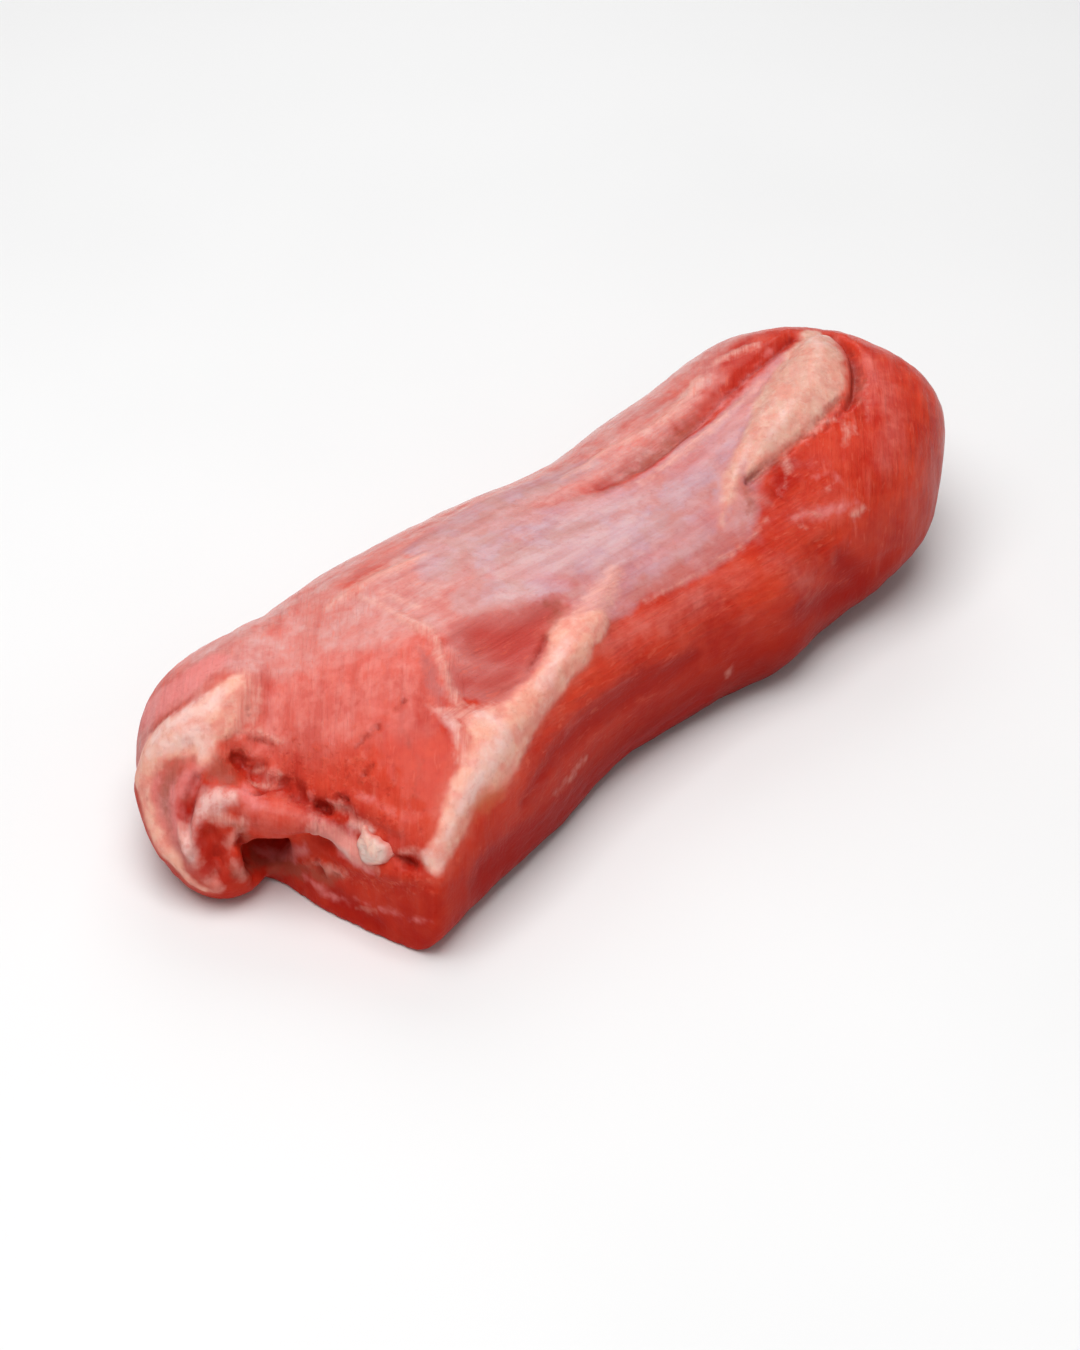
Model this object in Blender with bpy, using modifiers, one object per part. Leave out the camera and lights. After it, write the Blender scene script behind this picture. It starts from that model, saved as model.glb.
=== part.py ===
"""Raw veal tenderloin: one trimmed piece of boneless meat, lying flat, modelled as one solid.

The long axis lies along X, with the folded cut end at -X and the rounded head at +X.
The piece rests on Z = 0. The smooth forms are a warped sphere and routed lumps, joined and cut by Booleans.
A voxel remesh softens the joints, and the fat seam, muscle creases and pits are raised or sunk as relief.
"""

import math

import bmesh
import bpy
import numpy as np
from mathutils import Vector

# The trunk: its two ends on X, how far the rounding of each end reaches, and its section.
NEAR_X = -0.093
FAR_X = 0.1140
NEAR_SLOPE = 0.042
FAR_CAP = 0.062
FAR_LEAN = 0.16
END_SKEW = 0.16
END_BULGE = 0.0035
WIDEST_SHARE = 0.42
BASE_DEPTH = 0.004
TOP_POWER = 2.6
BASE_POWER = ((-0.093, 4.4), (0.000, 3.4), (0.060, 2.6), (0.125, 2.3))

# Side outlines and crest along the trunk: each pair is a place on X and the value there.
THIN_SIDE_Y = ((-0.093, -0.0505), (-0.075, -0.0465), (-0.050, -0.0405), (-0.026, -0.036),
               (-0.002, -0.033), (0.018, -0.0335), (0.034, -0.0360), (0.050, -0.0335),
               (0.072, -0.0355), (0.125, -0.037))
BACK_SIDE_Y = ((-0.093, 0.0405), (-0.070, 0.0435), (-0.028, 0.044), (0.018, 0.0425),
               (0.050, 0.0450), (0.081, 0.0485), (0.125, 0.0425))
CREST_Z = ((-0.093, 0.048), (-0.080, 0.049), (-0.040, 0.050), (0.000, 0.048),
           (0.040, 0.0495), (0.080, 0.0565), (0.125, 0.0585))

# Lumps joined to the trunk at the cut end: the route of each and its radius at each point.
FLAP_LOBE = ((-0.030, 0.020, 0.024), (-0.083, 0.0222, 0.0235), (-0.105, 0.0150, 0.0185), (-0.116, -0.005, 0.004))
FLAP_LOBE_RADII = (0.018, 0.0225, 0.0195, 0.0110)
TONGUE = ((-0.1125, 0.008, 0.0275), (-0.1085, -0.002, 0.0245), (-0.1010, -0.012, 0.0245), (-0.095, -0.020, 0.026))
TONGUE_RADII = (0.0060, 0.0065, 0.0060, 0.0045)
SHOULDER = ((-0.070, 0.006, 0.026), (-0.088, 0.008, 0.0235), (-0.1005, 0.004, 0.0225))
SHOULDER_RADII = (0.0200, 0.0180, 0.0095)

# The fold in the cut end: a groove over the lower slab that opens into a deep hollow behind the flap.
GROOVE = ((-0.0890, -0.0520, 0.0265), (-0.0965, -0.0400, 0.0262), (-0.1010, -0.0260, 0.0235), (-0.1045, -0.013, 0.0175))
GROOVE_RADII = (0.0022, 0.0028, 0.0036, 0.0048)
HOLLOW = ((-0.1150, -0.0140, 0.0125), (-0.1075, -0.0060, 0.0125), (-0.0970, 0.0050, 0.0110))
HOLLOW_RADII = (0.0050, 0.0058, 0.0045)

LUMP_STATIONS = 28
LUMP_TIP = 0.0002
VOXEL = 0.0016
SOFTEN_TIMES = 5
KEPT_SHARE = 0.2

# Relief: each entry is a route over the surface, how far to each side it reaches and how much it rises.
RELIEF = (
    ("fat_seam", ((-0.0925, -0.0450, 0.0275), (-0.0870, -0.0445, 0.0310), (-0.0768, -0.0400, 0.0366),
                  (-0.0657, -0.0358, 0.0406), (-0.0515, -0.0332, 0.0413), (-0.0383, -0.0287, 0.0430),
                  (-0.0260, -0.0255, 0.0434), (-0.0148, -0.0217, 0.0440)),
     (0.0035, 0.0045, 0.0060, 0.0080, 0.0070, 0.0060, 0.0050, 0.0035), 0.0016),
    ("septum", ((-0.0580, 0.0070, 0.0500), (-0.0556, -0.0047, 0.0499), (-0.0612, -0.0168, 0.0484),
                (-0.0647, -0.0261, 0.0458)),
     (0.0020, 0.0025, 0.0025, 0.0030), 0.0006),
    ("dark_window", ((-0.0520, -0.0140, 0.0480), (-0.0400, -0.0160, 0.0470), (-0.0270, -0.0170, 0.0460)),
     (0.0080, 0.0090, 0.0050), -0.0010),
    ("back_crease", ((0.0050, 0.0120, 0.0475), (0.0300, 0.0135, 0.0485), (0.0486, 0.0128, 0.0505),
                     (0.0695, 0.0128, 0.0545), (0.0924, 0.0177, 0.0540), (0.1040, 0.0220, 0.0450)),
     (0.0040, 0.0055, 0.0060, 0.0060, 0.0050, 0.0040), -0.0016),
    ("fat_pad", ((0.0370, -0.0120, 0.0482), (0.0459, -0.0063, 0.0498), (0.0560, -0.0030, 0.0520),
                 (0.0676, 0.0001, 0.0543), (0.0800, 0.0040, 0.0552), (0.0910, 0.0090, 0.0552)),
     (0.0040, 0.0060, 0.0075, 0.0085, 0.0095, 0.0090), 0.0013),
    ("head_groove", ((0.0985, 0.0130, 0.0520), (0.0956, 0.0030, 0.0540), (0.0858, -0.0080, 0.0545),
                     (0.0740, -0.0190, 0.0515)),
     (0.0025, 0.0030, 0.0030, 0.0020), -0.0014),
    ("rim_band", ((-0.0900, 0.0150, 0.0430), (-0.1000, 0.0180, 0.0415), (-0.1120, 0.0170, 0.0340),
                  (-0.1200, 0.0130, 0.0230), (-0.1220, 0.0050, 0.0120)),
     (0.0060, 0.0070, 0.0060, 0.0050, 0.0040), 0.0010),
    ("back_fold", ((-0.0800, 0.0500, 0.0170), (-0.0300, 0.0480, 0.0200), (0.0200, 0.0460, 0.0220),
                   (0.0700, 0.0500, 0.0240), (0.1000, 0.0420, 0.0260)),
     (0.0040, 0.0060, 0.0070, 0.0060, 0.0040), -0.0018),
    ("thin_side_fold", ((-0.0050, -0.0360, 0.0160), (0.0250, -0.0380, 0.0200), (0.0550, -0.0370, 0.0210),
                        (0.0850, -0.0350, 0.0230)),
     (0.0030, 0.0050, 0.0050, 0.0030), -0.0010),
)

# Pits in the top of the cut end: a place, a radius and a depth.
PITS = (
    ((-0.1048, 0.0046, 0.0342), 0.0040, 0.0020),
    ((-0.1035, 0.0000, 0.0315), 0.0034, 0.0016),
    ((-0.0993, -0.0067, 0.0318), 0.0036, 0.0016),
    ((-0.0985, -0.0178, 0.0300), 0.0032, 0.0030),
    ((-0.0938, -0.0425, 0.0268), 0.0028, 0.0018),
)
RELIEF_SAMPLES = 60
TAPER_POWER = 8
SWELL = 0.0004
SWELL_WAVES = ((83.0, 41.0, 57.0, 0.4), (47.0, 96.0, 71.0, 1.9), (129.0, 63.0, 88.0, 3.1))
MEAT_COLOUR = (0.56, 0.105, 0.085, 1.0)
MEAT_ROUGHNESS = 0.38


def clear_scene():
    """Removes every object that the startup scene holds."""
    for obj in list(bpy.data.objects):
        bpy.data.objects.remove(obj)


def move_to(obj, collection):
    """Links the object to this collection alone."""
    for other in list(obj.users_collection):
        other.objects.unlink(obj)
    collection.objects.link(obj)


def smooth_value(pairs, at):
    """A smooth curve through the pairs, read at each place: cubic pieces with central slopes."""
    places = np.array([p for p, _ in pairs])
    values = np.array([v for _, v in pairs])
    slopes = np.gradient(values, places)
    at = np.clip(np.asarray(at, float), places[0], places[-1])
    i = np.clip(np.searchsorted(places, at) - 1, 0, len(places) - 2)
    span = places[i + 1] - places[i]
    t = (at - places[i]) / span
    return (
        values[i] * (1 + 2 * t) * (1 - t) ** 2
        + slopes[i] * span * t * (1 - t) ** 2
        + values[i + 1] * t * t * (3 - 2 * t)
        - slopes[i + 1] * span * t * t * (1 - t)
    )


def rounded_power(value, power):
    """A cosine or sine bent towards the sides of a superellipse."""
    return math.copysign(abs(value) ** (2 / power), value)


def dome(depth, power):
    """How much of the full section is left this deep into a rounded end, from 0 to 1."""
    return max(0.0, 1 - max(0.0, depth) ** power) ** (1 / power)


def trunk():
    """The trunk of the cut: a sphere stretched along X, with a superellipse for each cross-section."""
    bpy.ops.mesh.primitive_uv_sphere_add(segments=72, ring_count=96, radius=1)
    obj = bpy.context.object
    obj.name = "trunk"
    for vertex in obj.data.vertices:
        along = vertex.co.z
        turn = math.atan2(vertex.co.y, vertex.co.x)
        x = (NEAR_X + FAR_X) / 2 + along * (FAR_X - NEAR_X) / 2
        back = float(smooth_value(BACK_SIDE_Y, x))
        thin = float(smooth_value(THIN_SIDE_Y, x))
        crest = float(smooth_value(CREST_Z, x))
        far = dome((x - (FAR_X - FAR_CAP)) / FAR_CAP, 2.35)
        far_rise = dome((x - (FAR_X - FAR_CAP)) / FAR_CAP, 3.2 if turn > 0 else 2.2)
        slope = dome((NEAR_X + NEAR_SLOPE - x) / NEAR_SLOPE, 2.2)
        middle_y = (back + thin) / 2
        middle_z = crest * WIDEST_SHARE
        c, s = math.cos(turn), math.sin(turn)
        power = TOP_POWER if s > 0 else float(smooth_value(BASE_POWER, x))
        y = rounded_power(c, power) * (back - thin) / 2
        rise = (crest - middle_z) * slope if s > 0 else middle_z + BASE_DEPTH
        z = rounded_power(s, power) * rise
        if abs(along) > 0.99999:
            y = z = 0.0
        across = 2 * y / (back - thin)
        y = middle_y + y * far
        z *= far_rise
        near_shift = END_SKEW * (y - thin) + END_BULGE * (1 - across * across)
        x -= near_shift * max(0.0, -along) ** 3
        x += FAR_LEAN * z * max(0.0, along) ** 3
        vertex.co = Vector((x, y, middle_z + z))
    return obj


def lump(name, route, radii):
    """A soft rounded lump along a smooth route through a few points, with a radius at each point."""
    places = np.linspace(0, 1, len(route))
    axes = [tuple(zip(places, values)) for values in zip(*route)]
    girth = tuple(zip(places, radii))
    curve = bpy.data.curves.new(name, "CURVE")
    curve.dimensions = "3D"
    curve.bevel_depth = 1
    curve.bevel_resolution = 8
    curve.use_fill_caps = True
    spline = curve.splines.new("POLY")
    spline.points.add(LUMP_STATIONS - 1)
    for i, point in enumerate(spline.points):
        along = (1 - math.cos(math.pi * i / (LUMP_STATIONS - 1))) / 2
        point.co = (*(float(smooth_value(axis, along)) for axis in axes), 1)
        ends = math.sqrt(max(0.0, 1 - (2 * along - 1) ** 8))
        point.radius = max(LUMP_TIP, float(smooth_value(girth, along)) * ends)
    obj = bpy.data.objects.new(name, curve)
    bpy.context.collection.objects.link(obj)
    return as_mesh(obj)


def as_mesh(obj):
    """The object with its modifiers applied or its curve turned into a welded mesh."""
    graph = bpy.context.evaluated_depsgraph_get()
    mesh = bpy.data.meshes.new_from_object(obj.evaluated_get(graph))
    work = bmesh.new()
    work.from_mesh(mesh)
    bmesh.ops.remove_doubles(work, verts=work.verts, dist=0.00001)
    work.to_mesh(mesh)
    work.free()
    solid = bpy.data.objects.new(obj.name, mesh)
    solid.matrix_world = obj.matrix_world
    bpy.context.collection.objects.link(solid)
    name = obj.name
    bpy.data.objects.remove(obj)
    solid.name = name
    return solid


def joined(base, name, pieces, operation):
    """The base with one Boolean against a collection of pieces, which are then removed."""
    group = bpy.data.collections.new(name)
    bpy.context.scene.collection.children.link(group)
    group.hide_render = True
    for piece in pieces:
        move_to(piece, group)
        piece.hide_render = True
        piece.display_type = "WIRE"
    step = base.modifiers.new(name, "BOOLEAN")
    step.operation = operation
    step.operand_type = "COLLECTION"
    step.collection = group
    solid = as_mesh(base)
    for piece in list(group.objects):
        bpy.data.objects.remove(piece)
    bpy.data.collections.remove(group)
    return solid


def softened(solid):
    """The solid with a fine, even skin whose sharp joints are smoothed."""
    voxels = solid.modifiers.new("skin", "REMESH")
    voxels.mode = "VOXEL"
    voxels.voxel_size = VOXEL
    soften = solid.modifiers.new("soften", "SMOOTH")
    soften.factor = 0.5
    soften.iterations = SOFTEN_TIMES
    return as_mesh(solid)


def route_samples(route, reaches):
    """Close points along a smooth route, the reach to each side at every one, and a taper at its ends."""
    places = np.linspace(0, 1, len(route))
    at = np.linspace(0, 1, RELIEF_SAMPLES)
    points = np.stack([smooth_value(list(zip(places, axis)), at) for axis in zip(*route)], axis=1)
    return points, smooth_value(list(zip(places, reaches)), at), 1 - np.abs(2 * at - 1) ** TAPER_POWER


def hump(share):
    """A smooth rise from 0 at the rim of a mark, where the share is 1, to 1 at its middle."""
    inside = np.clip(1 - share, 0, 1)
    return inside * inside * (3 - 2 * inside)


def carve_relief(solid):
    """Moves the skin out or in along its normals: ridges and creases by route, then pits and a slight swell."""
    count = len(solid.data.vertices)
    places = np.empty(count * 3)
    solid.data.vertices.foreach_get("co", places)
    places = places.reshape(-1, 3)
    normals = np.array([vertex.normal for vertex in solid.data.vertices])
    move = np.zeros(count)
    for _, route, reaches, rise in RELIEF:
        points, reach, taper = route_samples(route, reaches)
        gaps = np.linalg.norm(places[:, None] - points[None], axis=2) / reach[None]
        nearest = gaps.argmin(axis=1)
        move += rise * hump(gaps.min(axis=1)) * taper[nearest]
    for middle, radius, depth in PITS:
        move -= depth * hump(np.linalg.norm(places - np.array(middle), axis=1) / radius)
    for kx, ky, kz, start in SWELL_WAVES:
        move += SWELL * np.sin(places @ np.array((kx, ky, kz)) + start)
    places += normals * move[:, None]
    solid.data.vertices.foreach_set("co", places.reshape(-1))
    solid.data.update()


def lighter(solid):
    """The solid with fewer, larger triangles where its skin is even."""
    fewer = solid.modifiers.new("lighter", "DECIMATE")
    fewer.ratio = KEPT_SHARE
    return as_mesh(solid)


def rest_flat(solid):
    """Cuts the underside level at Z = 0 and closes it, as the face that the piece rests on."""
    work = bmesh.new()
    work.from_mesh(solid.data)
    faces = work.verts[:] + work.edges[:] + work.faces[:]
    cut = bmesh.ops.bisect_plane(work, geom=faces, plane_co=(0, 0, 0), plane_no=(0, 0, 1), clear_inner=True)
    edges = [item for item in cut["geom_cut"] if isinstance(item, bmesh.types.BMEdge)]
    bmesh.ops.holes_fill(work, edges=edges)
    work.to_mesh(solid.data)
    work.free()


def seat(solid):
    """Puts the middle of the underside's bounding box at the origin."""
    corners = [Vector(corner) for corner in solid.bound_box]
    middle = sum(corners, Vector()) / len(corners)
    for vertex in solid.data.vertices:
        vertex.co.x -= middle.x
        vertex.co.y -= middle.y


def meat_material():
    material = bpy.data.materials.new("raw_meat")
    material.use_nodes = True
    shader = material.node_tree.nodes["Principled BSDF"]
    shader.inputs["Base Color"].default_value = MEAT_COLOUR
    shader.inputs["Roughness"].default_value = MEAT_ROUGHNESS
    shader.inputs["Metallic"].default_value = 0.0
    return material


def main():
    clear_scene()
    lumps = [
        lump("flap_lobe", FLAP_LOBE, FLAP_LOBE_RADII),
        lump("tongue", TONGUE, TONGUE_RADII),
        lump("shoulder", SHOULDER, SHOULDER_RADII),
    ]
    solid = joined(trunk(), "lumps", lumps, "UNION")
    hollows = [
        lump("groove", GROOVE, GROOVE_RADII),
        lump("hollow", HOLLOW, HOLLOW_RADII),
    ]
    solid = joined(solid, "hollows", hollows, "DIFFERENCE")
    solid = softened(solid)
    carve_relief(solid)
    solid = lighter(solid)
    rest_flat(solid)
    seat(solid)
    solid.name = "tenderloin"
    solid.data.materials.append(meat_material())
    body = bpy.data.collections.new("raw_veal_tenderloin")
    bpy.context.scene.collection.children.link(body)
    move_to(solid, body)


if __name__ == "__main__":
    main()
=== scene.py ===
"""Raw veal tenderloin on a pale table: its muscle, fat, silverskin and light, made around the CAD frame."""

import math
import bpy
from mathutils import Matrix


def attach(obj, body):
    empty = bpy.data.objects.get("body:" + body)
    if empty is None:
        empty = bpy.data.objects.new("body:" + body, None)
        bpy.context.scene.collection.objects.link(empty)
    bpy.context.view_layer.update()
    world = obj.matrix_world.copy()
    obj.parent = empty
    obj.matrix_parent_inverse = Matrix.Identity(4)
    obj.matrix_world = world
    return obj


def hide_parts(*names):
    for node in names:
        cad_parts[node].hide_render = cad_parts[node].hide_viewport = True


bl_info = {
    "name": "Raw veal tenderloin",
    "version": (1, 0, 0),
    "blender": (4, 5, 0),
    "location": "View3D > Sidebar > Tenderloin",
    "description": "Models and shades a trimmed raw veal tenderloin around its CAD solid",
    "category": "Mesh",
}

from functools import cache, reduce

import bmesh
import bpy
import numpy as np
from bpy.props import FloatProperty, FloatVectorProperty, IntProperty, PointerProperty
from mathutils import Matrix, Vector, noise
from mathutils.bvhtree import BVHTree

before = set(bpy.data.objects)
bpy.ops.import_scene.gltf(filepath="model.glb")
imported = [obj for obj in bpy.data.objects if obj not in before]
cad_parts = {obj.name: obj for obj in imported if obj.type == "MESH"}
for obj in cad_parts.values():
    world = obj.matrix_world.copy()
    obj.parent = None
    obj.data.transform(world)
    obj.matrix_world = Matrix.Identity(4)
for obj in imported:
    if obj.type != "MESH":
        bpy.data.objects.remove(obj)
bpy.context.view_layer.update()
MM = 0.001

# Where each tissue lies on the meat: routes of points in millimetres, each with its half width.
MARKS = {
    "fat": {
        "seam": ((-85.8, -42.6, 27.6, 1.4), (-84.6, -44.4, 26.9, 2.4), (-81.2, -43.6, 30.3, 2.9),
            (-77.2, -42.4, 32.8, 3.7), (-73.8, -40.5, 36.0, 3.3), (-67.1, -39.0, 38.3, 5.5),
            (-60.7, -37.3, 39.3, 6.8), (-55.5, -34.9, 41.1, 6.9), (-48.2, -32.3, 41.7, 5.2),
            (-40.8, -30.2, 42.2, 4.4), (-34.7, -28.4, 43.1, 3.9), (-29.4, -26.6, 44.4, 4.4),
            (-24.9, -24.4, 45.4, 5.4)),
        "seam_top": ((-26.1, -20.8, 46.2, 2.6), (-22.4, -21.6, 45.9, 4.4), (-18.3, -22.6, 45.5, 4.2),
            (-14.9, -22.6, 44.8, 2.8)),
        "seam_bulge": ((-63.4, -40.1, 35.2, 1.4), (-59.2, -39.0, 35.7, 2.4), (-54.5, -37.1, 37.1, 2.6)),
        "join": ((-60.0, -29.7, 43.9, 2.4), (-58.9, -34.0, 42.4, 4.2)),
        "pad": ((100.5, 20.1, 52.1, 3.4), (90.2, 7.9, 56.1, 5.6), (82.1, 1.6, 55.7, 6.8),
            (72.0, -1.8, 54.9, 6.2), (62.1, -4.4, 53.6, 4.6), (54.2, -6.2, 51.6, 3.4),
            (48.9, -8.2, 49.8, 1.6)),
        "pad_edge": ((94.8, 17.8, 53.3, 2.2), (85.2, 13.2, 54.5, 3.6), (75.7, 8.3, 54.6, 4.6),
            (66.9, 3.4, 54.5, 4.4), (59.0, -0.8, 53.7, 2.8)),
        "stem": ((67.0, 5.5, 54.0, 1.2), (58.3, 0.2, 53.5, 1.7), (50.9, -3.2, 51.7, 1.9),
            (44.9, -6.0, 49.4, 1.8), (39.6, -9.8, 47.1, 1.4), (35.4, -12.5, 46.1, 0.9),
            (31.8, -14.9, 45.3, 0.2)),
        "rim": ((-90.3, 17.4, 45.4, 0.6), (-92.7, 16.9, 44.9, 2.2), (-95.3, 16.5, 44.0, 3.3),
            (-98.3, 15.4, 42.3, 4.3), (-101.5, 14.5, 40.1, 5.2), (-105.4, 16.3, 38.5, 5.4),
            (-109.2, 19.9, 36.2, 4.8), (-112.2, 23.3, 31.6, 4.2), (-114.9, 23.5, 26.9, 3.4),
            (-117.5, 19.3, 23.2, 2.3), (-119.5, 13.7, 18.3, 1.8), (-119.9, 8.5, 14.0, 1.6),
            (-118.9, 4.2, 10.1, 1.3), (-116.8, 0.5, 7.6, 0.8)),
        "rim_drop": ((-105.1, 12.4, 36.6, 3.0), (-106.7, 11.2, 34.7, 1.4)),
        "back_seam": ((-96.0, 33.0, 20.0, 1.5), (-70.0, 37.0, 24.0, 3.0), (-45.0, 40.0, 22.0, 2.2),
            (-18.0, 43.0, 19.0, 1.2), (8.0, 45.0, 18.0, 0.6)),
        "back_spot": ((52.0, 47.0, 24.0, 1.2), (60.0, 47.5, 22.0, 2.0), (69.0, 47.0, 23.0, 1.0)),
    },
    "pale": {
        "septum": ((-53.5, 19.1, 48.6, 0.5), (-52.1, 11.4, 49.4, 0.8), (-52.1, 5.1, 49.9, 1.2),
            (-51.5, 0.7, 50.0, 1.7), (-50.6, -3.2, 50.1, 1.2), (-52.2, -7.0, 49.7, 1.0),
            (-55.4, -13.2, 48.8, 1.0), (-58.8, -20.0, 47.1, 1.0), (-59.9, -24.4, 45.5, 1.2)),
        "join_sheet": ((-63.2, -23.1, 45.7, 0.8), (-60.7, -25.4, 45.1, 2.2), (-59.2, -27.5, 44.4, 2.6),
            (-56.6, -28.5, 44.1, 2.4), (-52.4, -28.2, 43.9, 1.4)),
        "join_side": ((-63.4, -26.8, 44.5, 1.2), (-64.6, -30.3, 43.3, 2.0), (-66.8, -33.6, 42.0, 1.6),
            (-69.2, -35.7, 40.6, 0.4)),
        "join_thread": ((-65.4, -20.1, 46.2, 0.2), (-63.8, -23.1, 45.7, 0.7), (-61.5, -25.2, 45.1, 0.9)),
        "seam_fan": ((-19.5, -21.1, 45.9, 3.6), (-14.2, -19.1, 45.7, 3.6), (-9.2, -16.7, 45.6, 3.2),
            (-4.5, -14.3, 45.8, 2.4), (-0.4, -11.9, 46.2, 1.5)),
        "lobe_thread": ((-107.4, -3.7, 25.8, 0.8), (-108.6, -2.7, 23.1, 1.2), (-109.8, -2.2, 20.8, 1.1),
            (-111.4, -2.1, 19.2, 0.7)),
        "lobe_top": ((-111.3, 2.4, 25.3, 1.2), (-110.0, 0.4, 25.3, 1.6), (-108.9, -1.5, 25.3, 1.2)),
        "slab_skin": ((-96.1, -14.5, 13.2, 0.2), (-95.3, -18.0, 13.3, 0.8), (-94.5, -21.4, 13.9, 1.0),
            (-93.9, -24.3, 14.9, 0.2)),
        "muscle_skin": ((-91.5, -23.2, 29.4, 0.6), (-91.0, -25.8, 29.3, 1.2), (-90.4, -28.3, 29.2, 0.6)),
        "fold_lip": ((-96.1, 9.0, 38.7, 0.4), (-94.0, 7.3, 38.0, 0.9), (-92.2, 4.6, 36.9, 0.6),
            (-91.0, 0.8, 36.8, 0.1)),
        "septum_b": ((-48.9, 15.7, 49.3, 0.6), (-47.9, 11.1, 49.7, 0.9), (-47.1, 6.0, 49.9, 0.7)),
        "hem": ((44.8, -19.0, 44.4, -0.3), (37.8, -21.3, 43.2, -0.1), (29.5, -22.2, 42.4, 0.1),
            (19.8, -22.0, 42.1, -0.1), (9.6, -21.6, 42.1, 0.0), (0.3, -21.7, 42.2, -0.3)),
        "inner_rim": ((-117.3, 7.8, 22.2, 1.0), (-117.8, 6.5, 20.3, 1.8), (-117.9, 3.7, 17.6, 1.8),
            (-117.5, 1.6, 15.4, 1.0)),
        "tip_edge": ((-111.3, -3.3, 16.8, 0.2), (-110.6, -4.2, 13.3, 1.0), (-109.2, -4.2, 9.9, 0.6)),
        "tip_spot": ((-116.1, -1.3, 10.3, 1.4), (-115.3, -1.8, 8.3, 1.8)),
        "nodule_foot": ((-92.5, -25.4, 22.3, 2.2), (-92.3, -28.7, 22.3, 2.2), (-91.9, -31.9, 22.4, 1.0)),
        "strip": ((-96.4, -15.7, 26.6, 1.6), (-94.4, -17.8, 24.8, 2.1), (-92.9, -21.3, 23.4, 2.8),
            (-92.4, -25.3, 22.8, 3.0)),
        "rim_fray": ((-87.8, 19.0, 45.7, 0.2), (-90.0, 15.6, 44.9, 1.7), (-92.8, 12.9, 42.7, 2.5),
            (-96.1, 11.0, 40.4, 2.2), (-99.5, 9.9, 38.0, 0.7)),
        "rim_tip": ((-93.5, 17.0, 44.8, 0.6), (-95.8, 15.6, 43.4, 2.0)),
        "rim_fray_b": ((-86.3, 16.6, 45.1, -0.3), (-88.4, 13.2, 43.7, 0.5), (-91.7, 10.4, 41.3, 0.8),
            (-94.5, 8.8, 39.1, 0.3)),
        "fleck_b": ((-97.4, 3.6, 30.5, 0.6), (-96.5, 2.6, 30.4, 0.3)),
        "fleck_d": ((-96.4, 0.5, 29.8, 0.5), (-94.7, -1.8, 31.0, 0.4)),
        "fleck_e": ((-99.6, 1.7, 29.1, 0.5), (-98.0, -0.7, 29.2, 0.6), (-96.0, -1.9, 30.0, 0.3)),
        "fleck_f": ((-91.5, -17.5, 30.7, 0.6), (-91.0, -20.6, 31.0, 0.7), (-90.8, -22.4, 30.8, 0.3)),
        # The fleck and spots on the head (fleck_c, spot_a to spot_h) are painted highlights in the membrane's
        # colour.
        "fleck_c": ((65.4, -27.9, 39.0, 0.5), (67.2, -28.2, 39.2, 0.8), (69.0, -28.5, 39.7, 0.3)),
        "spot_a": ((67.4, -8.2, 53.1, 0.4), (69.0, -9.5, 53.0, 0.9), (71.0, -10.3, 53.1, 0.3)),
        "spot_f": ((70.7, -8.4, 53.4, 0.1), (73.2, -9.5, 53.5, 0.6), (75.7, -10.2, 53.5, 0.2)),
        "spot_g": ((77.5, -11.9, 53.2, 0.1), (75.9, -14.9, 52.3, 0.5), (73.2, -17.3, 51.1, 0.2)),
        "spot_h": ((59.5, -9.3, 51.4, 0.1), (57.6, -11.6, 50.2, 0.5), (56.3, -13.7, 48.9, 0.1)),
        "spot_b": ((78.1, -13.7, 52.7, 0.1), (77.5, -16.2, 51.9, -0.1)),
        "tan": ((49.5, -22.7, 42.2, -0.4), (54.2, -22.9, 42.5, -0.3), (58.1, -25.3, 40.6, -0.2),
            (64.4, -26.0, 41.8, -0.5)),
        "spot_c": ((57.5, -11.8, 50.1, 0.3), (57.1, -12.8, 49.6, 0.4)),
        "spot_d": ((51.1, -24.7, 40.5, 0.1), (51.2, -24.9, 40.2, 0.1)),
        "spot_e": ((59.6, -21.5, 45.1, -0.6), (62.6, -21.9, 45.7, -0.3), (64.9, -22.4, 46.1, -0.6)),
        "strand_a": ((61.2, -7.2, 52.4, -0.5), (57.5, -11.8, 50.1, -0.3), (52.8, -16.3, 46.8, -0.6)),
        "head_strip": ((94.7, -3.1, 53.5, -0.6), (88.5, -9.5, 52.9, -0.4), (83.5, -14.8, 51.9, -0.6)),
        "back_a": ((43.3, 22.6, 48.9, 1.2), (49.9, 21.6, 49.9, 2.0), (58.2, 23.9, 50.3, 2.2),
            (66.2, 27.9, 50.2, 1.8)),
        "back_b": ((31.2, 25.0, 46.6, 0.8), (37.0, 23.3, 47.8, 1.4), (42.4, 22.4, 48.8, 1.2)),
        "back_c": ((74.3, 29.8, 51.0, 1.0), (79.6, 28.6, 52.3, 1.6), (84.5, 26.3, 53.4, 1.2)),
        "back_d": ((15.2, 24.3, 46.2, 0.6), (22.9, 24.0, 46.3, 1.2), (30.3, 24.7, 46.6, 0.8)),
        "crease_lip": ((27.3, 8.3, 47.8, 0.7), (36.9, 8.5, 48.8, 1.0), (50.4, 9.1, 51.1, 1.3),
            (65.0, 11.7, 52.0, 1.2), (74.2, 14.3, 52.2, 0.9)),
        "upper_streak": ((-60.9, 22.6, 46.8, 0.8), (-52.0, 22.5, 48.2, 1.5), (-46.1, 22.2, 48.5, 2.0),
            (-39.9, 21.5, 48.7, 1.6), (-31.7, 21.0, 48.6, 1.0)),
        "side_streak": ((-43.5, -38.8, 19.3, 0.4), (-37.5, -36.9, 19.2, 0.7), (-30.7, -34.9, 19.7, 0.4)),
        "side_fleck_c": ((20.1, -31.4, 15.6, 1.1),),
        "slab_line": ((-94.1, -26.1, 5.7, -0.4), (-93.2, -29.4, 6.8, 0.1), (-92.4, -32.1, 7.9, -0.3)),
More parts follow.
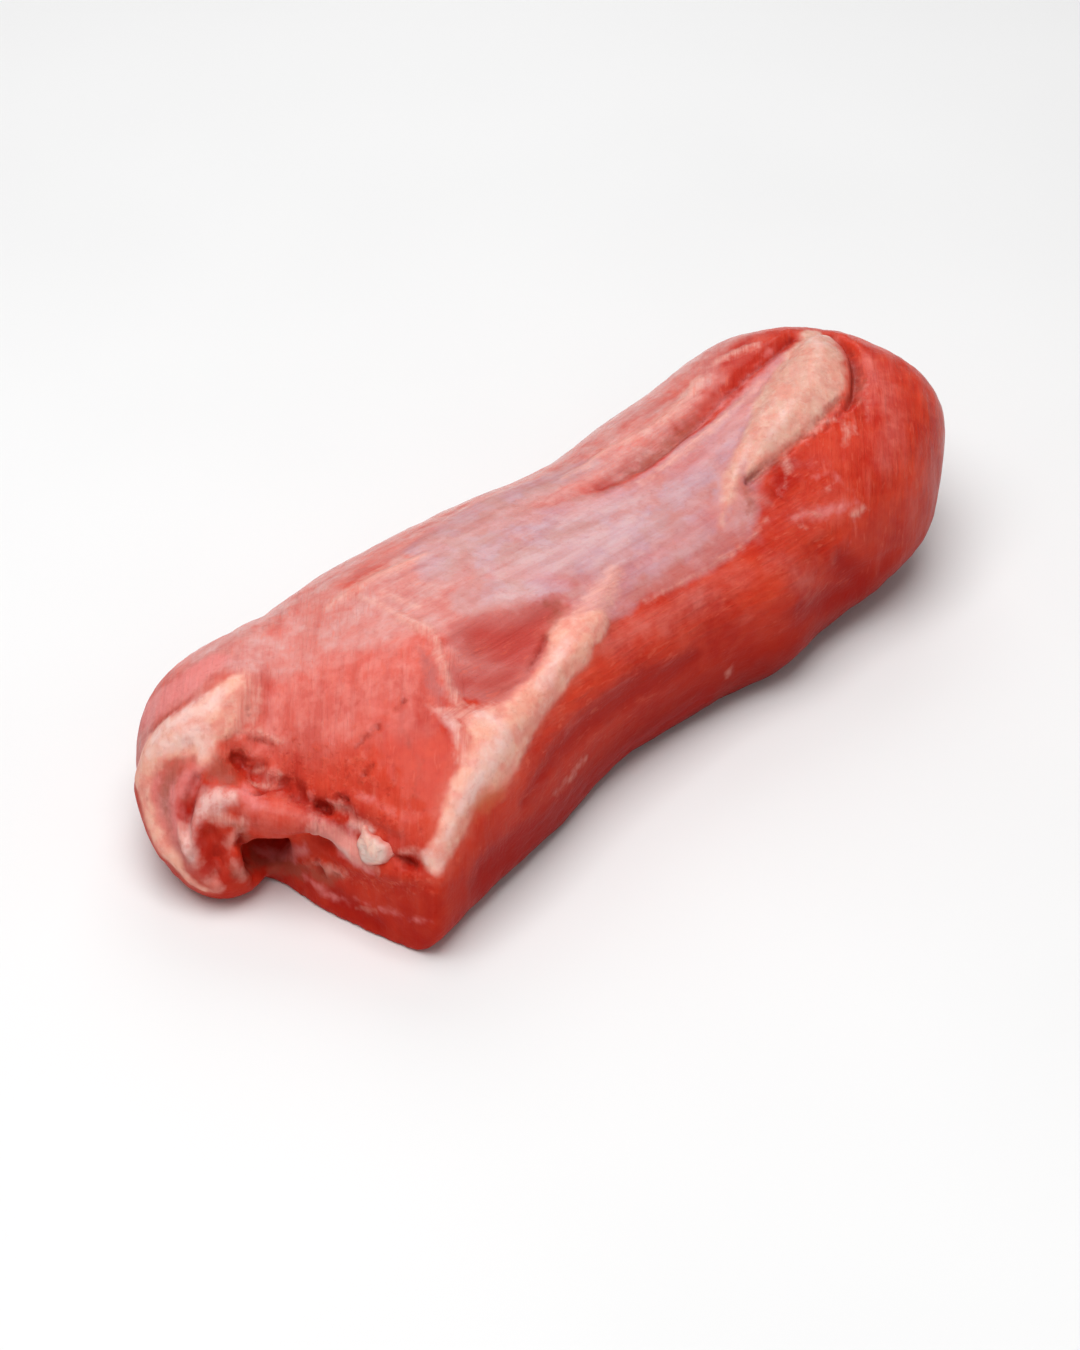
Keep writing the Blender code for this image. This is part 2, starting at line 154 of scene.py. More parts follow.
        "corner_thread": ((-88.7, -36.7, 27.1, 0.2), (-87.5, -38.4, 27.9, 0.5), (-86.5, -40.4, 28.0, 0.2)),
        "hole_lip": ((-91.5, -16.1, 30.4, 0.3), (-91.3, -18.7, 31.1, 0.7), (-90.8, -21.4, 31.1, 0.6)),
    },
    "film": {
        "seam_fan": ((-19.0, -18.5, 46.4, 3.0), (-14.7, -19.2, 45.7, 4.6), (-9.5, -19.2, 44.8, 4.4),
            (-4.2, -18.9, 44.2, 3.4)),
        "back_edge": ((-31.6, 23.9, 48.1, 3.0), (-20.2, 25.2, 47.6, 5.5), (-9.1, 25.5, 47.3, 6.5),
            (3.1, 25.5, 46.7, 6.0), (16.0, 25.2, 45.9, 5.0), (24.4, 23.5, 46.4, 3.0)),
        "pad_side": ((66.3, 9.1, 53.0, 4.5), (75.0, 12.2, 52.9, 3.6), (82.9, 15.2, 53.3, 2.8),
            (89.4, 17.4, 53.5, 1.8)),
        "crease_side": ((26.3, 7.1, 47.7, 2.0), (33.4, 7.6, 48.3, 3.2), (40.6, 7.4, 49.4, 3.8),
            (47.7, 7.7, 50.7, 4.0), (54.9, 8.1, 52.0, 3.8), (64.6, 11.0, 52.3, 3.6), (73.2, 13.2, 52.3, 3.2),
            (82.0, 15.7, 53.1, 2.6), (88.3, 17.8, 53.5, 1.8)),
        "sheet": ((-31.8, 14.2, 49.3, 7.0), (-17.4, 12.8, 48.7, 12.0), (-10.0, 6.7, 48.4, 15.5),
            (-1.6, 0.0, 47.9, 16.5), (8.8, -1.1, 47.7, 15.5), (18.5, -1.3, 47.5, 14.0),
            (31.2, -1.9, 47.5, 12.0), (41.0, -4.1, 48.4, 10.0), (50.5, -1.2, 51.4, 9.0),
            (62.0, 4.7, 53.4, 6.0), (72.5, 9.1, 53.8, 4.0)),
        "lower": ((-9.2, -17.4, 45.4, 3.0), (-2.1, -17.4, 44.6, 4.0), (7.9, -16.3, 44.8, 6.5),
            (20.6, -16.9, 44.6, 6.5), (29.9, -16.9, 44.7, 6.0), (37.9, -14.9, 45.6, 4.8),
            (42.0, -13.4, 46.4, 2.6)),
        "window_top": ((-34.2, -1.8, 50.0, 7.0), (-27.6, -4.9, 49.5, 8.6), (-20.2, -7.0, 48.7, 7.6),
            (-15.7, -10.6, 47.8, 5.0), (-11.9, -13.4, 46.8, 5.0)),
    },
    "veil": {
        "shoulder": ((-84.7, 21.3, 45.5, 6.0), (-71.2, 18.0, 45.6, 10.0), (-58.8, 14.6, 48.4, 12.0),
            (-47.7, 9.8, 49.8, 13.0), (-38.5, 6.2, 50.0, 13.0), (-30.6, 4.7, 49.7, 11.0)),
        "back": ((-41.3, 17.6, 49.3, 8.0), (-29.2, 21.0, 48.5, 9.0), (-10.5, 24.7, 47.5, 10.0),
            (16.4, 25.7, 45.8, 10.0), (39.8, 21.8, 48.5, 9.0), (57.3, 23.7, 50.3, 5.0),
            (72.4, 29.9, 50.6, 3.0)),
        "window_left": ((-38.2, -4.3, 50.0, 3.0), (-44.6, -11.1, 48.7, 5.0), (-50.9, -16.4, 48.0, 3.5)),
        "rim_strip": ((-84.9, 26.1, 45.1, 5.0), (-97.9, 25.0, 43.4, 5.0), (-105.2, 27.3, 38.3, 4.5),
            (-110.5, 31.4, 28.4, 3.5)),
        "rim_valley": ((-109.2, 15.4, 34.9, 2.0), (-114.4, 16.0, 29.7, 2.6), (-117.5, 14.1, 24.6, 2.6),
            (-118.9, 9.0, 19.3, 2.4), (-119.1, 4.9, 14.8, 2.0)),
        "lilac_edge": ((40.0, -11.2, 46.8, 5.0), (37.9, -17.0, 44.9, 3.4)),
        "over_back": ((-88.0, 30.0, 40.0, 9.0), (-60.0, 30.0, 40.0, 10.0), (-30.0, 32.0, 40.0, 11.0),
            (0.0, 34.0, 39.0, 11.0), (30.0, 34.0, 42.0, 10.0), (60.0, 36.0, 44.0, 9.0),
            (85.0, 34.0, 46.0, 7.0)),
        "back_sheet": ((-30.0, 36.0, 30.0, 9.0), (0.0, 40.0, 27.0, 11.0), (30.0, 43.0, 27.0, 10.0),
            (58.0, 42.0, 30.0, 7.0)),
        "far_end": ((108.0, 24.0, 26.0, 6.0), (112.0, 8.0, 22.0, 5.0)),
    },
    "blush": {
        "top": ((-90.4, 8.0, 40.0, 8.0), (-86.0, 3.1, 41.5, 12.0), (-75.7, -0.8, 45.9, 16.0),
            (-64.6, -3.5, 48.2, 13.8), (-56.9, -5.1, 49.1, 10.0)),
        "right": ((-71.1, -17.1, 45.8, 4.0), (-67.8, -19.5, 46.0, 2.5)),
        "tongue": ((-104.2, -2.5, 29.2, 1.5), (-102.5, -6.5, 28.4, 1.5), (-99.8, -10.3, 28.1, 1.0),
            (-97.5, -14.0, 27.4, 0.0)),
        "head": ((101.0, 2.3, 53.4, 0.0), (94.1, -10.1, 53.1, 1.2), (86.7, -19.5, 49.9, 1.0),
            (79.9, -25.8, 45.5, 0.0)),
        "side_top": ((-18.0, -27.1, 40.8, -1.0), (-8.3, -26.2, 39.8, 0.5), (2.7, -25.5, 39.0, 1.0),
            (15.4, -26.0, 38.5, 1.0), (28.2, -26.5, 39.4, 0.5)),
        "head_tan": ((51.5, -22.1, 42.8, -1.5), (57.6, -24.4, 41.6, 0.5), (64.2, -26.2, 41.5, -0.5)),
        "head_streak": ((36.7, -27.5, 39.3, -1.0), (40.4, -30.1, 36.4, 0.0), (46.5, -32.0, 30.6, -0.3)),
    },
    "cloud": {
        "middle": ((-24.3, 4.0, 49.2, 2.4), (-19.1, 0.0, 48.8, 4.0), (-11.0, -1.0, 48.2, 5.4),
            (-1.8, -1.3, 47.8, 5.0), (5.4, -1.3, 47.7, 3.4)),
        "low": ((-29.3, -4.6, 49.7, 2.2), (-24.9, -6.7, 49.2, 2.6), (-20.2, -7.0, 48.7, 1.6)),
        "seam_top": ((-11.9, -15.5, 46.3, 3.0), (-4.9, -12.6, 46.3, 3.6), (2.5, -8.7, 46.8, 3.6),
            (9.6, -4.5, 47.4, 2.8), (15.0, -0.1, 47.6, 2.0)),
        "upper": ((2.1, 9.5, 48.2, 2.0), (10.9, 8.4, 48.0, 3.5), (19.7, 5.4, 47.7, 3.0)),
        "lip": ((35.0, 7.9, 48.5, 1.4), (44.1, 8.2, 50.0, 2.2), (51.8, 8.4, 51.4, 2.2),
            (61.1, 9.8, 52.3, 2.0), (71.3, 12.7, 52.2, 1.8), (80.2, 15.4, 52.9, 1.4)),
        "far": ((42.4, 2.8, 49.4, 2.6), (47.0, 4.8, 50.5, 4.2), (51.6, 4.6, 51.4, 3.4),
            (58.7, 6.3, 52.6, 2.6)),
        "lower": ((7.8, -12.9, 45.9, 2.0), (17.7, -13.5, 45.7, 3.0), (27.4, -13.1, 45.7, 2.0)),
        "tip": ((59.6, 4.8, 53.0, 2.0), (67.2, 7.2, 53.6, 2.0)),
    },
    "mauve": {
        "grey": ((17.0, 1.4, 47.6, 1.5), (22.9, 2.8, 47.6, 3.0), (28.8, 4.8, 47.8, 2.0)),
        "upper": ((-16.8, 21.0, 48.2, 3.0), (-6.4, 20.0, 48.1, 4.0), (5.7, 19.1, 47.7, 3.0)),
        "left": ((-41.1, 7.5, 50.0, 3.0), (-37.5, 5.2, 50.0, 2.4), (-29.9, 8.4, 49.5, 2.2),
            (-25.5, 13.6, 49.1, 1.6), (-31.3, 5.3, 49.7, 2.8), (-37.0, -1.5, 50.1, 2.6)),
        "patch": ((-11.5, 11.5, 48.5, 1.4), (-8.4, 10.0, 48.4, 1.6)),
        "top_edge": ((-7.1, 18.2, 48.3, 2.0), (-2.2, 14.2, 48.3, 2.2)),
        "middle": ((11.8, 1.4, 47.8, 1.5), (19.3, 3.2, 47.6, 2.5), (31.0, 6.8, 48.0, 2.5)),
        "lines": ((22.2, -7.3, 46.8, 1.0), (28.7, -6.7, 46.9, 1.8), (35.5, -5.2, 47.5, 1.8),
            (40.0, -4.8, 48.1, 1.0)),
        "near_stem": ((32.6, -20.4, 43.4, 2.0), (37.1, -17.1, 44.8, 2.4), (40.9, -13.4, 46.3, 2.0)),
        "right": ((44.2, -7.8, 48.9, 2.0), (40.9, -13.8, 46.2, 3.0), (34.8, -17.8, 44.5, 3.0),
            (24.6, -19.7, 43.5, 3.0), (13.7, -20.7, 42.7, 2.6), (3.6, -21.0, 42.5, 2.2)),
        "top": ((50.8, 4.5, 51.3, 1.2), (57.1, 5.7, 52.4, 2.0), (66.3, 9.1, 53.0, 1.4)),
    },
    # Sheen: the lobe's glossy membrane (lobe, inner_rim), and painted highlight on the rim, seams, pad, stem
    # and strip.
    "sheen": {
        "rim_mid": ((-112.1, 22.6, 31.9, 1.4), (-109.7, 19.3, 35.7, 2.0), (-106.9, 16.7, 37.6, 2.4),
            (-103.8, 15.3, 39.1, 2.0)),
        "rim": ((-110.4, 23.9, 33.8, 1.6), (-106.6, 21.5, 38.6, 2.2), (-102.3, 18.5, 41.6, 2.6),
            (-98.2, 17.0, 43.2, 2.0), (-95.1, 17.2, 44.4, 0.6)),
        "rim_low": ((-105.7, 15.3, 37.8, 1.6), (-105.3, 12.9, 36.7, 1.6), (-106.2, 11.8, 35.5, 0.8)),
        "lobe": ((-115.5, 5.5, 23.3, 1.0), (-113.3, 5.4, 25.7, 1.8), (-110.8, 4.7, 27.8, 2.8),
            (-109.0, 2.9, 28.8, 2.6), (-107.1, 0.8, 29.3, 1.4)),
        "inner_rim": ((-115.5, 5.5, 23.3, 1.0), (-117.1, 5.2, 20.8, 1.4), (-117.7, 4.3, 18.7, 1.6),
            (-117.9, 3.1, 16.6, 0.9)),
        "seam": ((-82.3, -43.1, 30.6, 0.6), (-76.8, -41.6, 34.1, 1.0), (-69.9, -39.8, 37.2, 1.8),
            (-63.1, -37.4, 39.9, 2.4), (-55.8, -34.5, 41.5, 1.6)),
        "seam_top": ((-39.2, -28.6, 43.3, 1.2), (-31.9, -26.0, 44.8, 1.2), (-26.2, -23.0, 45.8, 1.0)),
        "seam_join": ((-57.7, -28.5, 44.2, 0.8), (-56.5, -30.6, 43.6, 1.6), (-55.5, -32.8, 42.7, 1.2)),
        "lump_top": ((-92.2, -23.3, 28.0, 0.1), (-91.4, -25.9, 28.7, 0.5), (-90.4, -28.3, 29.2, 0.3)),
        "join_left": ((-65.0, -21.8, 45.9, 0.0), (-64.4, -24.2, 45.3, 0.8), (-64.3, -26.4, 44.5, 0.7),
            (-64.8, -28.8, 43.7, 0.3)),
        "pad": ((93.9, 15.5, 54.3, 1.0), (92.0, 10.7, 55.7, 1.0)),
        "pad_low": ((70.5, -0.8, 55.0, 0.2), (63.0, -3.5, 53.9, 0.8), (57.3, -5.1, 52.6, 0.3)),
        "stem": ((54.8, -2.0, 52.8, 0.1), (49.6, -4.6, 51.2, 0.5), (45.3, -6.6, 49.5, 0.1)),
        "strip": ((-93.9, -16.9, 22.2, 0.0), (-93.2, -20.4, 21.7, 0.7), (-92.8, -24.2, 21.7, 0.4)),
        "foot": ((-85.6, -42.8, 27.9, 1.2), (-85.1, -44.2, 26.5, 1.4)),
    },
    # Umber: brownish skin, and painted shade along the pad's lower edge, right of the pad and under the
    # crease.
    "umber": {
        "front_right": ((-73.6, -20.1, 44.4, -1.2), (-74.9, -25.8, 42.2, -0.7), (-77.3, -30.2, 39.4, -0.7),
            (-81.3, -33.1, 35.9, -1.2)),
        "edge_upper": ((-83.3, 30.5, 44.0, -1.2), (-74.8, 29.5, 44.2, -0.7), (-63.0, 29.3, 44.5, -0.9)),
        "crease_low": ((19.4, 12.1, 47.2, 0.2), (28.3, 13.7, 46.8, 1.0), (36.8, 14.2, 47.6, 1.6),
            (46.7, 14.5, 49.1, 1.6), (54.7, 15.8, 50.1, 0.8)),
        "pad_tip": ((45.6, -9.6, 48.6, 0.4), (48.3, -9.5, 49.0, 1.0), (52.3, -9.7, 49.6, 0.9),
            (56.9, -9.9, 50.5, 0.6)),
        "window_notch": ((-22.1, -11.0, 48.4, 0.0), (-20.7, -13.0, 48.0, 1.1), (-21.4, -15.8, 47.3, 1.4),
            (-25.1, -17.6, 46.8, 1.0), (-28.9, -19.8, 46.5, 0.2)),
        "skin_end": ((44.3, -10.5, 47.9, 0.8), (43.2, -13.6, 46.5, 1.0), (41.2, -16.3, 45.3, 0.2)),
        "pad_groove": ((101.0, 8.7, 53.3, 0.2), (95.7, 1.4, 54.1, 0.9), (91.6, -4.0, 53.6, 1.2),
            (85.8, -8.3, 53.6, 0.6)),
        "pad_shadow": ((63.5, -9.4, 52.2, 0.8), (69.9, -8.6, 53.3, 0.9), (77.9, -6.9, 54.1, 1.2),
            (81.6, -6.0, 54.4, 0.8)),
        "lobe_side": ((-107.9, -3.5, 24.1, 0.6), (-107.4, -3.8, 20.3, 0.8), (-104.7, 1.5, 11.2, 0.6)),
        "fold": ((-106.8, 12.5, 35.4, 1.4), (-106.3, 9.6, 34.0, 2.6), (-105.0, 6.9, 32.6, 3.2),
            (-103.9, 4.8, 31.5, 2.0)),
        "valley": ((-110.9, 15.6, 33.4, 0.8), (-114.2, 15.5, 29.9, 1.5), (-116.8, 14.0, 25.7, 1.9),
            (-118.3, 11.0, 21.9, 1.1)),
        "cavity": ((-101.7, 0.6, 7.5, 2.0), (-98.6, -2.9, 6.7, 3.0), (-97.5, -9.1, 8.4, 2.6)),
        "patch": ((-96.8, -12.2, 10.2, 1.8), (-96.0, -16.3, 10.7, 2.4), (-94.9, -20.3, 12.2, 1.8)),
        "tip": ((-111.9, -4.3, 12.9, 1.0), (-108.4, -3.3, 10.6, 2.2), (-105.1, -0.6, 9.1, 1.6)),
    },
    "stain": {
        "seam_spot": ((-75.5, -41.5, 34.4, -0.6), (-72.8, -41.4, 34.5, 0.8), (-69.9, -41.4, 33.9, 1.8),
            (-67.0, -41.4, 33.4, 2.2), (-64.2, -41.2, 33.1, 1.6), (-61.3, -40.6, 33.4, 0.2)),
        "rim": ((-111.4, 23.6, 32.7, -0.6), (-109.8, 22.3, 35.1, -0.2), (-108.0, 19.8, 37.4, -0.6)),
    },
    "coral": {
        "crease": ((49.4, 16.0, 49.4, 0.8), (55.6, 16.8, 50.4, 2.0), (68.1, 18.9, 52.0, 2.4),
            (81.7, 20.2, 53.7, 2.2), (91.6, 21.1, 53.8, 1.6)),
        "front": ((-95.3, 2.5, 32.1, 4.0), (-91.9, -4.5, 34.2, 6.0), (-89.8, -12.9, 34.8, 7.0),
            (-87.3, -20.6, 35.3, 7.0), (-85.3, -28.0, 34.9, 7.0), (-85.1, -34.0, 32.8, 6.0)),
        "right": ((-79.4, -29.6, 38.5, 6.0), (-82.1, -34.8, 34.5, 6.0), (-85.7, -37.5, 30.7, 4.0)),
        "lobe": ((-113.2, 1.1, 21.8, 1.4), (-113.3, -1.6, 18.1, 2.2), (-114.1, -2.9, 13.9, 2.4)),
        "head_in": ((60.7, -13.8, 50.1, 3.0), (70.6, -17.8, 50.5, 4.0), (79.2, -18.4, 51.0, 3.0)),
        "head_side": ((51.3, -18.6, 45.2, 1.0), (44.3, -23.1, 42.1, 2.0), (47.8, -27.5, 37.8, 1.5)),
        # head_rim is painted light: a brighter red on the head's right edge, which the lamps leave in shade.
        "head_rim": ((100.3, -21.0, 44.2, 1.0), (97.6, -25.5, 37.3, 1.6), (93.4, -28.7, 31.0, 1.0)),
    },
    "rosy": {
        "slab_streak": ((-97.2, -11.6, 7.5, -0.4), (-96.4, -15.8, 6.8, 0.6), (-95.6, -19.9, 6.3, 0.7),
            (-94.5, -24.4, 6.6, 0.0)),
        "slab_haze": ((-94.2, -24.9, 8.7, -0.7), (-91.9, -33.8, 9.4, -0.1), (-90.0, -40.8, 10.8, -0.1),
            (-88.5, -46.2, 12.7, -0.4)),
        "head_haze": ((59.0, -17.7, 47.6, -0.9), (65.4, -20.4, 47.8, -0.6), (67.6, -27.0, 41.7, -0.7),
            (62.2, -30.3, 30.1, -0.9)),
        "front_haze": ((-89.0, -18.3, 34.2, -0.9), (-86.7, -25.5, 34.4, -0.6), (-85.2, -32.8, 33.2, -0.9)),
        # The cavity route is painted light: pale pink that lightens the shaded cavity under the tongue.
        "cavity": ((-98.2, 1.4, 6.6, 1.2), (-95.9, -3.3, 8.4, 1.6), (-96.4, -11.5, 15.7, 1.2)),
        "ledge": ((-95.9, -16.2, 26.6, 1.6), (-94.2, -18.2, 24.5, 2.4), (-93.0, -21.0, 23.3, 3.0),
            (-92.5, -24.6, 22.7, 3.0)),
        "strip": ((-106.7, 33.1, 33.1, 3.4), (-103.5, 29.7, 38.8, 4.2), (-98.7, 27.1, 42.6, 4.4),
            (-92.0, 26.7, 44.5, 4.0)),
        "bands": ((-115.7, 18.4, 27.7, 0.8), (-117.9, 16.7, 23.4, 1.2), (-119.4, 13.0, 19.3, 1.2)),
        "grey_band": ((-107.8, 10.6, 33.6, 1.2), (-111.0, 11.2, 31.4, 1.6), (-113.6, 11.1, 28.8, 1.4)),
        "inner": ((-114.9, 12.5, 28.0, 1.2), (-117.1, 10.0, 23.7, 1.6), (-118.5, 7.9, 19.8, 1.2)),
        "nodule": ((-92.4, -24.1, 26.2, 1.6), (-92.4, -25.3, 22.8, 2.4), (-92.8, -27.7, 20.7, 1.8),
            (-92.4, -30.8, 20.4, 0.3)),
        "tongue": ((-103.8, -0.1, 29.8, 1.4), (-103.7, -2.9, 29.2, 1.6), (-103.2, -5.2, 28.6, 1.0)),
        "crease": ((49.2, 13.6, 49.6, 0.0), (58.3, 15.2, 50.6, 0.7), (67.7, 16.6, 51.6, 0.7),
            (75.7, 18.8, 52.9, 0.3), (85.3, 21.3, 54.0, -0.2)),
        "tan": ((48.4, -21.7, 42.9, -0.5), (53.4, -22.9, 42.3, 0.8), (59.2, -24.9, 41.4, 1.0),
            (65.3, -26.4, 41.6, 0.0)),
    },
    "ragged": {
        "head": ((56.1, -9.3, 50.6, 0.2), (60.6, -10.3, 51.3, 1.0), (66.1, -10.4, 52.4, 1.5),
            (71.4, -10.6, 53.1, 1.6), (78.0, -9.7, 53.7, 1.2), (79.1, -13.5, 52.8, 1.0),
            (77.8, -17.0, 51.6, 0.4)),
        "head_low": ((49.4, -12.0, 48.0, 0.4), (49.7, -15.3, 46.7, 1.0), (51.3, -18.6, 45.2, 0.8)),
        "fold": ((-101.2, 8.3, 34.9, 1.6), (-99.5, 5.9, 32.4, 3.0), (-97.1, 2.6, 29.8, 3.2),
            (-95.8, -2.4, 29.9, 3.0), (-94.9, -7.2, 30.2, 2.6), (-94.3, -11.5, 30.2, 1.8)),
        "muscle_edge": ((-91.7, -14.9, 30.6, 1.2), (-90.6, -20.8, 31.5, 1.4), (-89.8, -25.5, 31.1, 0.8)),
        "patch": ((-96.5, -12.7, 12.3, 1.4), (-95.7, -16.5, 12.5, 2.4), (-94.6, -20.8, 14.2, 1.8)),
        "lobe": ((-113.9, -0.2, 19.4, 1.6), (-114.4, -1.9, 15.9, 2.2), (-114.7, -2.7, 12.3, 1.4)),
    },
    "deep": {
        "window": ((-45.9, -10.5, 49.0, 3.5), (-42.2, -12.5, 48.2, 8.0), (-38.4, -17.0, 47.4, 9.0),
            (-31.5, -17.8, 47.1, 8.0), (-21.5, -14.3, 47.7, 4.0)),
        "window_low": ((-54.1, -19.4, 47.1, 5.0), (-48.0, -22.8, 45.8, 6.0), (-41.0, -23.4, 45.3, 4.0)),
        "strand_side": ((-55.8, -5.8, 49.2, 0.1), (-58.1, -11.8, 48.5, 1.3), (-60.8, -17.1, 47.4, 1.5),
            (-62.9, -21.4, 46.2, 0.6)),
    },
    # Raw: the lobe's and sliver's own deep red, and painted shade low on the sides, back and head, and in the
    # pad's notch.
    "raw": {
        "lobe": ((-114.2, -0.3, 19.0, 2.0), (-114.9, -1.5, 15.9, 2.6), (-115.1, -2.4, 11.7, 1.8)),
        "fold": ((-100.9, 7.0, 33.1, 0.8), (-100.0, 5.3, 31.9, 2.2), (-98.7, 3.5, 29.9, 2.6),
            (-98.2, -1.0, 29.2, 2.0), (-95.2, -5.6, 29.8, 2.4), (-94.0, -14.0, 28.9, 3.0)),
        "edge": ((-90.8, -18.6, 31.9, 1.0), (-89.4, -25.8, 31.4, 0.6), (-87.6, -34.9, 30.1, 0.8),
            (-87.2, -39.2, 27.3, 2.0), (-87.2, -41.7, 25.4, 1.8)),
        "sliver": ((-110.7, 8.4, 30.1, 0.9), (-112.7, 7.8, 28.0, 1.5), (-114.8, 7.2, 25.4, 1.4),
            (-116.3, 6.6, 23.0, 0.8)),
        "slab": ((-95.4, -20.5, 6.6, 3.0), (-92.6, -32.1, 3.9, 2.6)),
        "front_right": ((-73.6, -20.1, 44.4, -1.4), (-74.6, -25.4, 42.5, -0.9), (-77.0, -29.9, 39.7, -0.8),
            (-81.3, -33.1, 35.9, -1.4)),
        "front": ((-86.2, -8.6, 39.5, -1.6), (-83.0, -15.0, 40.6, -1.3), (-78.1, -19.7, 42.5, -1.4)),
        "side_band": ((-55.6, -41.5, 26.0, 2.0), (-41.5, -36.7, 29.2, 3.4), (-26.7, -33.3, 29.4, 4.2),
            (-9.3, -31.7, 29.1, 4.2), (7.8, -31.0, 25.9, 3.0)),
        "side_foot": ((-70.3, -44.3, 15.3, 7.0), (-40.1, -37.7, 9.3, 6.0), (-6.8, -29.3, 6.2, 5.0),
            (12.0, -30.5, 10.6, 4.0)),
        "crease": ((19.4, 14.2, 46.7, 1.6), (33.7, 15.2, 47.0, 2.6), (47.2, 15.1, 49.1, 3.0),
            (64.3, 18.6, 51.5, 3.0), (79.5, 21.3, 53.6, 2.8), (94.4, 22.1, 53.6, 2.0)),
        "notch": ((46.8, -9.7, 48.7, 0.4), (50.5, -9.1, 49.5, 0.7), (54.5, -8.8, 50.4, 0.4)),
        "wedge": ((55.7, -10.4, 50.1, 2.4), (57.7, -13.3, 49.5, 2.4), (51.9, -15.1, 47.2, 1.8),
            (47.1, -17.3, 45.4, 1.0)),
        "head_low": ((59.5, -30.3, 29.1, 3.0), (66.5, -31.2, 18.0, 4.0), (55.5, -31.4, 19.2, 4.0),
            (41.9, -34.1, 24.9, 3.0)),
        "foot": ((-60.0, 38.0, 5.0, 5.0), (-20.0, 43.0, 5.0, 5.0), (30.0, 46.0, 5.0, 6.0),
            (80.0, 40.0, 6.0, 6.0)),
    },
    "torn": {
        "front": ((-99.5, 7.9, 34.8, 5.0), (-94.6, 0.5, 32.1, 8.0), (-91.6, -10.6, 33.1, 9.0),
            (-88.0, -20.7, 34.6, 9.0), (-85.6, -31.9, 33.2, 7.0)),
        "patch": ((-96.4, -13.0, 12.4, 2.4), (-95.6, -16.8, 13.0, 3.6), (-94.6, -20.8, 14.8, 2.4)),
        "slab_top": ((-93.5, -26.0, 14.7, 3.0), (-90.5, -38.8, 20.6, 3.0), (-86.6, -45.9, 23.7, 2.0)),
    },
    # Dark: sunk into the mesh and painted dark, as painted shade in creases, grooves, pits and under the
    # pad's edge.
    "dark": {
        "pad_under": ((46.1, -9.3, 48.8, 0.5), (48.7, -9.2, 49.2, 0.5), (52.5, -9.5, 49.7, 0.1),
            (56.7, -9.8, 50.6, -0.1)),
        "pad_under_b": ((63.7, -9.2, 52.3, -0.2), (71.6, -8.3, 53.6, -0.2), (79.3, -6.2, 54.3, 0.2),
            (81.9, -5.7, 54.4, 0.1)),
        "notch_low": ((-24.3, -16.3, 47.1, -0.2), (-24.3, -17.4, 46.9, 0.1), (-22.7, -16.3, 47.1, -0.2)),
        "crease": ((32.5, 13.9, 47.1, 0.0), (39.6, 13.1, 48.3, 0.2), (55.9, 15.6, 50.3, 0.3),
            (73.4, 18.9, 52.7, 0.4), (84.8, 19.7, 53.8, 0.6), (94.7, 22.4, 53.5, 0.6)),
        "head_groove": ((104.0, 19.5, 51.8, 0.7), (102.0, 9.7, 52.9, 1.1), (94.7, -0.3, 53.9, 1.0),
            (86.9, -6.9, 53.9, 0.8), (81.4, -9.4, 53.8, 0.5)),
        "window_rim": ((-28.3, -18.7, 46.8, 0.4), (-32.8, -21.5, 46.1, 0.5), (-38.8, -24.1, 45.1, 0.3)),
        "corner_pit": ((-89.3, -36.7, 25.7, 0.2), (-88.6, -38.6, 25.4, 1.0), (-87.9, -40.2, 25.1, 0.5)),
        "hole": ((-93.8, -13.7, 29.2, 0.5), (-93.0, -14.9, 28.6, 1.1), (-92.9, -16.9, 28.4, 0.4)),
        "fold_a": ((-99.5, 6.3, 32.7, 0.1), (-99.4, 5.0, 31.7, 0.6), (-98.8, 4.0, 30.5, 0.3)),
        "fold_b": ((-102.5, -1.8, 29.5, 0.5), (-100.6, -1.9, 29.4, 0.7), (-99.1, -1.7, 29.2, 0.5)),
        "fold_d": ((-90.6, -17.6, 32.4, 0.6), (-89.9, -20.0, 32.6, 0.7)),
        "arc": ((-96.3, 7.4, 36.9, 0.3), (-94.2, 5.7, 36.1, 0.5), (-93.0, 3.6, 35.6, 0.3)),
        "speck": ((-93.2, 11.3, 41.6, 0.3), (-93.7, 10.3, 40.7, 0.2)),
        "crack": ((-77.0, -15.6, 44.0, 0.7), (-78.4, -15.2, 43.4, 0.3)),
        "crack_b": ((-79.3, -15.1, 42.9, 0.3), (-80.9, -14.9, 42.0, 0.5), (-82.5, -15.1, 40.9, 0.3)),
        "lobe_spot": ((-114.2, 7.9, 26.4, 0.3), (-114.6, 6.8, 25.3, 0.6), (-115.4, 6.2, 24.0, 0.2)),
        "cavity_wall": ((-108.4, -3.0, 21.7, 0.4), (-108.3, -3.3, 19.3, 1.1), (-104.6, 1.4, 10.6, 1.2),
            (-104.7, 0.0, 9.1, 0.8)),
        "crack_c": ((-68.7, -15.0, 46.7, 0.4), (-71.4, -15.3, 46.0, 0.2)),
        "crack_low": ((-82.6, -20.8, 39.3, 0.2), (-84.3, -20.3, 38.2, 0.4), (-86.2, -20.4, 36.4, 0.3)),
        "sliver": ((-113.3, 7.5, 27.1, 0.5), (-114.3, 6.8, 25.7, 0.5)),
        "strip_line": ((-110.4, 32.0, 27.4, 0.0), (-109.1, 27.2, 34.2, 0.1), (-105.2, 24.2, 39.4, 0.1),
            (-100.7, 22.0, 42.7, -0.1)),
    },
}

